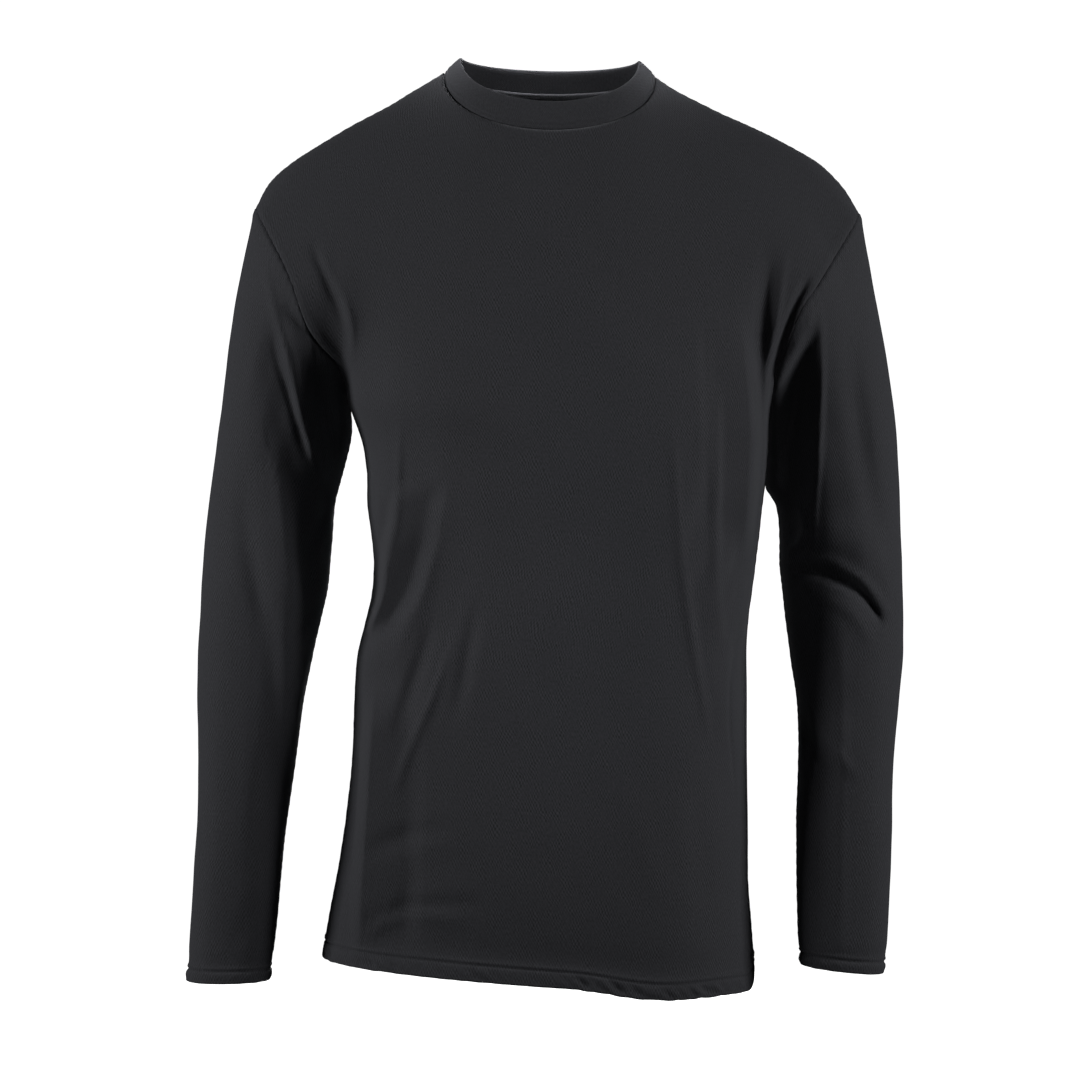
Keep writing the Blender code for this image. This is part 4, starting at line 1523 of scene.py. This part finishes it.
@dataclass
class Edge:
    """One edge of a panel: its line, and how to get to the cloth beside it.

    Attributes:
        lines: points on the edge and on the lines beside it, further and further in.
        normals: the outward directions at those points.
    """

    lines: np.ndarray
    normals: np.ndarray

    BLEND = 0.004
    LEAST = 1e-9

    @classmethod
    def of(cls, panel: Panel, rows: slice, columns: slice, inward: tuple[int, int]) -> "Edge":
        """An edge of a panel's grid.

        Args:
            panel: the panel.
            rows: the edge's rows.
            columns: the edge's columns.
            inward: the step in rows and columns that leads away from the edge.

        Returns:
            The edge, with the lines beside it.
        """
        points, normals = panel.points(), panel.normals()
        row_numbers = np.arange(len(points))[rows]
        column_numbers = np.arange(points.shape[1])[columns]
        lines, facings = [], []
        for step in range(3):
            picked = np.ix_(row_numbers + inward[0] * step, column_numbers + inward[1] * step)
            lines.append(points[picked].reshape(-1, 3))
            facings.append(normals[picked].reshape(-1, 3))
        return cls(np.array(lines), np.array(facings))

    def inside(self, step: int, depth: float) -> np.ndarray:
        """A line beside the edge, this deep under the outer face."""
        return self.lines[step] - self.normals[step] * depth

    def nearest(self, places: np.ndarray) -> "Edge":
        """The parts of this edge nearest to some places, eased along."""
        distance = np.linalg.norm(places[:, None] - self.lines[0][None], axis=2)
        weight = bell(distance, self.BLEND) + self.LEAST
        weight /= weight.sum(axis=1, keepdims=True)
        return Edge(
            np.array([weight @ line for line in self.lines]),
            np.array([weight @ facing for facing in self.normals]),
        )

    def joined(self, other: "Edge") -> "Edge":
        """This edge and the next one as one."""
        return Edge(
            np.concatenate([self.lines, other.lines], axis=1),
            np.concatenate([self.normals, other.normals], axis=1),
        )


def neck_seam(front: Panel, back: Panel) -> np.ndarray:
    """The body's neck edge, all round."""
    edges = [
        panel.points()[-1, panel.marks["neck_right"] : panel.marks["neck_left"] + 1]
        for panel in (front, back)
    ]
    loop = np.concatenate([edges[0], edges[1][::-1]])
    return loop[np.linalg.norm(np.diff(loop, axis=0, append=loop[:1]), axis=1) > MILLIMETRE]


@dataclass
class Seams:
    """The overlocked allowances inside the side seams, shoulders and armholes, and the neck tape."""

    front: Panel
    back: Panel
    sleeves: tuple[Panel, Panel]
    thickness: float = 0.0009
    depth: float = 0.0021
    fold: float = 1.25
    tape_depth: float = 0.0024
    tape_rises: tuple[float, ...] = (-0.0036, -0.0012, 0.0012, 0.0030)
    tape_thickness: float = 0.0008

    def _edges(self, panel: Panel) -> dict[str, Edge]:
        """A body panel's edges by name."""
        waist, low, high = (panel.marks[name] for name in ("waist", "neck_right", "neck_left"))
        edges = {}
        for hand, end, inward, top in (
            ("right", slice(0, 1), 1, slice(0, low + 1)),
            ("left", slice(-1, None), -1, slice(high, None)),
        ):
            edges[f"{hand}_side"] = Edge.of(panel, slice(0, waist + 1), end, (0, inward))
            edges[f"{hand}_armhole"] = Edge.of(panel, slice(waist, None), end, (0, inward))
            edges[f"{hand}_shoulder"] = Edge.of(panel, slice(-1, None), top, (-1, 0))
        return edges

    def _across(self, one: Edge, two: Edge) -> list[np.ndarray]:
        """The rows of a strip that bridges two edges inside."""
        middle = (one.inside(0, self.depth) + two.inside(0, self.depth)) / 2
        return [
            one.inside(2, self.depth),
            one.inside(1, self.depth * self.fold),
            middle,
            two.inside(1, self.depth * self.fold),
            two.inside(2, self.depth),
        ]

    def build(self, knit: bpy.types.Material, tape: bpy.types.Material) -> list[bpy.types.Object]:
        """Makes the allowances and the neck tape."""
        front, back = self._edges(self.front), self._edges(self.back)
        strips = Ribbons("seam_allowances", self.thickness)
        for name in ("right_side", "left_side", "right_shoulder", "left_shoulder"):
            strips.add(self._across(front[name], back[name].nearest(front[name].lines[0])))
        for sleeve, side in zip(self.sleeves, ("right_armhole", "left_armhole")):
            ring = Edge.of(sleeve, slice(-1, None), slice(None), (-1, 0))
            body = front[side].joined(back[side]).nearest(ring.lines[0])
            strips.add(self._across(ring, body))
        band = Ribbons("neck_tape", self.tape_thickness)
        loop = neck_seam(self.front, self.back)
        inward, upward = band_directions(loop, loop)
        start = loop + inward * self.tape_depth
        band.add([start + upward * rise for rise in self.tape_rises], True)
        return [strips.finish(knit), band.finish(tape, Slot.COLLAR)]


# ---------------------------------------------------------------------------
# Studio
# ---------------------------------------------------------------------------


@dataclass(frozen=True)
class SoftBox:
    """A soft box, aimed at the middle of the top unless it says where.

    Attributes:
        name: what it is for.
        turn: its degrees round from the front, plus towards the wearer's left.
        reach: how far away it stands, level.
        height: how high it stands.
        size: its width and height.
        power: its watts.
        aim: what it points at.
        spread: how many degrees wide its light spreads.
    """

    name: str
    turn: float
    reach: float
    height: float
    size: tuple[float, float]
    power: float
    aim: tuple[float, float, float] = (0.0, 0.0, -0.36)
    spread: float = 180.0

    def place(self) -> None:
        """Adds the light."""
        light = bpy.data.lights.new(self.name, "AREA")
        light.shape = "RECTANGLE"
        light.size, light.size_y = self.size
        light.energy = self.power
        light.spread = math.radians(self.spread)
        lamp = bpy.data.objects.new(self.name, light)
        turn = math.radians(self.turn)
        lamp.location = (self.reach * math.sin(turn), -self.reach * math.cos(turn), self.height)
        lamp.rotation_euler = (Vector(self.aim) - lamp.location).to_track_quat("-Z", "Y").to_euler()
        lamp.visible_camera = False
        linked(lamp)


@dataclass
class Studio:
    """A plain pale cove, soft boxes all round and the camera."""

    camera_place: tuple[float, float, float] = (-0.0081, -3.1, -0.3775)
    view_width: float = 0.8748
    sensor: float = 36.0
    floor: float = -1.05
    radius: float = 7.0
    bend: float = 1.5
    wall_top: float = 6.0
    floor_rings: tuple[float, ...] = (0.0, 0.6, 1.5)
    bend_steps: int = 9
    steps: int = 96
    paint: tuple[float, ...] = (0.88, 0.88, 0.88, 1.0)
    glow: float = 0.25
    glow_reach: tuple[float, float] = (1.1, 2.3)
    ambient: float = 0.02
    boxes: tuple[SoftBox, ...] = (
        SoftBox("side_right", -68, 2.4, 0.25, (0.8, 1.1), 50.0),
        SoftBox("side_left", 68, 2.4, 0.25, (0.8, 1.1), 48.0),
        SoftBox("front", 0, 1.6, -0.40, (0.3, 0.3), 0.08, (0.0, 0.0, -0.40), 18),
        SoftBox("overhead", 0, 0.7, 1.60, (1.3, 0.9), 1.3),
        SoftBox("neck", 0, 0.03, 0.15, (0.12, 0.04), 0.32, (0.0, 0.065, -0.005), 75),
        SoftBox("behind", 176, 2.6, 0.45, (0.5, 1.2), 42.0),
    )

    def build(self) -> None:
        """Makes the cove, the lights, the world and the camera."""
        self._cove()
        for box in self.boxes:
            box.place()
        world = bpy.data.worlds.new("studio")
        world.use_nodes = True
        sky = world.node_tree.nodes["Background"].inputs
        sky["Color"].default_value = (1.0, 1.0, 1.0, 1.0)
        sky["Strength"].default_value = self.ambient
        bpy.context.scene.world = world
        bpy.context.scene.view_settings.view_transform = "Standard"
        self._camera()

    def _cove(self) -> None:
        """A round floor that curves up into a wall, and lights nothing itself."""
        mesh = bmesh.new()
        bends = np.linspace(0, math.pi / 2, self.bend_steps)
        inner = self.radius - self.bend
        profile = [(ring, self.floor) for ring in self.floor_rings]
        profile += [
            (inner + self.bend * math.sin(t), self.floor + self.bend * (1 - math.cos(t))) for t in bends
        ]
        profile.append((self.radius, self.wall_top))
        chain = [mesh.verts.new((x, 0, z)) for x, z in profile]
        edges = [mesh.edges.new(pair) for pair in zip(chain, chain[1:])]
        bmesh.ops.spin(
            mesh,
            geom=chain + edges,
            cent=(0, 0, 0),
            axis=(0, 0, 1),
            angle=2 * math.pi,
            steps=self.steps,
            use_merge=True,
        )
        bmesh.ops.remove_doubles(mesh, verts=mesh.verts, dist=Walls.MERGE)
        bmesh.ops.recalc_face_normals(mesh, faces=mesh.faces)
        flat = min(mesh.faces, key=lambda face: face.calc_center_median().length)
        if flat.normal.z < 0:
            bmesh.ops.reverse_faces(mesh, faces=mesh.faces)
        shop = NodeShop("pale_cove")
        place = shop.node("ShaderNodeTexCoord", output="Object")
        far = shop.node("ShaderNodeVectorMath", {0: place}, {"operation": "LENGTH"}, output="Value")
        glow = (far.above(*self.glow_reach) * (1 - self.glow) + self.glow).tinted((1.0, 1.0, 1.0))
        paint = shop.finish(
            Base_Color=self.paint,
            Roughness=0.9,
            Specular_IOR_Level=0.0,
            Emission_Color=glow,
            Emission_Strength=1.0,
        )
        cove = smooth_object("cove", mesh, paint)
        cove.visible_diffuse = cove.visible_glossy = False

    def _camera(self) -> None:
        """The camera, level with the middle of the top."""
        data = bpy.data.cameras.new("camera")
        data.sensor_width = self.sensor
        data.lens = self.sensor * -self.camera_place[1] / self.view_width
        camera = linked(bpy.data.objects.new("camera", data))
        camera.location = self.camera_place
        camera.rotation_euler = (math.pi / 2, 0.0, 0.0)
        bpy.context.scene.camera = camera


# ---------------------------------------------------------------------------
# The top
# ---------------------------------------------------------------------------


FRONT_ZONES = ((0.33, 0.0015), (0.56, 0.0026), (1.0, 0.0015))
BACK_ZONES = ((1.0, 0.0019),)
SLEEVE_ZONES = ((0.58, 0.0013), (1.0, 0.0021))


def main() -> None:
    """Builds the top and its studio."""
    logging.basicConfig(level=logging.INFO, format="%(message)s")
    knit = KnitFinish("knit_charcoal").material()
    rib = KnitFinish("collar_rib_charcoal", wale=0.0013, course=0.0026, ribs=0.0013).material()
    thread = ThreadFinish().material()
    body = {"step": 0.0050, "turning": 0.0115, "waist_row": 20, "neck": (8, 20)}
    sleeve = {"zones": SLEEVE_ZONES, "step": 0.0030, "turning": 0.0085, "flat": (0.44, 0.62)}
    panels = [
        Panel("front", (0, -1, 0), zones=FRONT_ZONES, flat=(0.56, 0.76), area=0.325, **body),
        Panel("back", (0, 1, 0), zones=BACK_ZONES, flat=(0.56, 0.78), area=0.335, **body),
        Panel("sleeve_right", (-1, 0, 0), area=0.165, **sleeve),
        Panel("sleeve_left", (1, 0, 0), area=0.163, **sleeve),
    ]
    for panel in panels:
        panel.shape()
    allowances, tape = Seams(panels[0], panels[1], (panels[2], panels[3])).build(knit, rib)
    collar = Collar(neck_seam(panels[0], panels[1]))
    band = collar.build(rib)
    stitching = {
        "hem_stitching": [line for panel in panels[:2] for line in panel.stitch_lines()],
        "cuff_stitching": [line for panel in panels[2:] for line in panel.stitch_lines()],
        "collar_stitching": [collar.topstitch],
    }
    hem, cuffs, topstitch = (stitched_piece(name, rows, thread) for name, rows in stitching.items())
    made = [allowances, tape, band, hem, cuffs, topstitch]
    for panel in panels:
        piece = panel.finish(knit)
        made.append(piece)
    for piece in made:
        LOG.info("%s: %d faces", piece.name, len(piece.data.polygons))
    Studio().build()


if __name__ == "__main__":
    main()
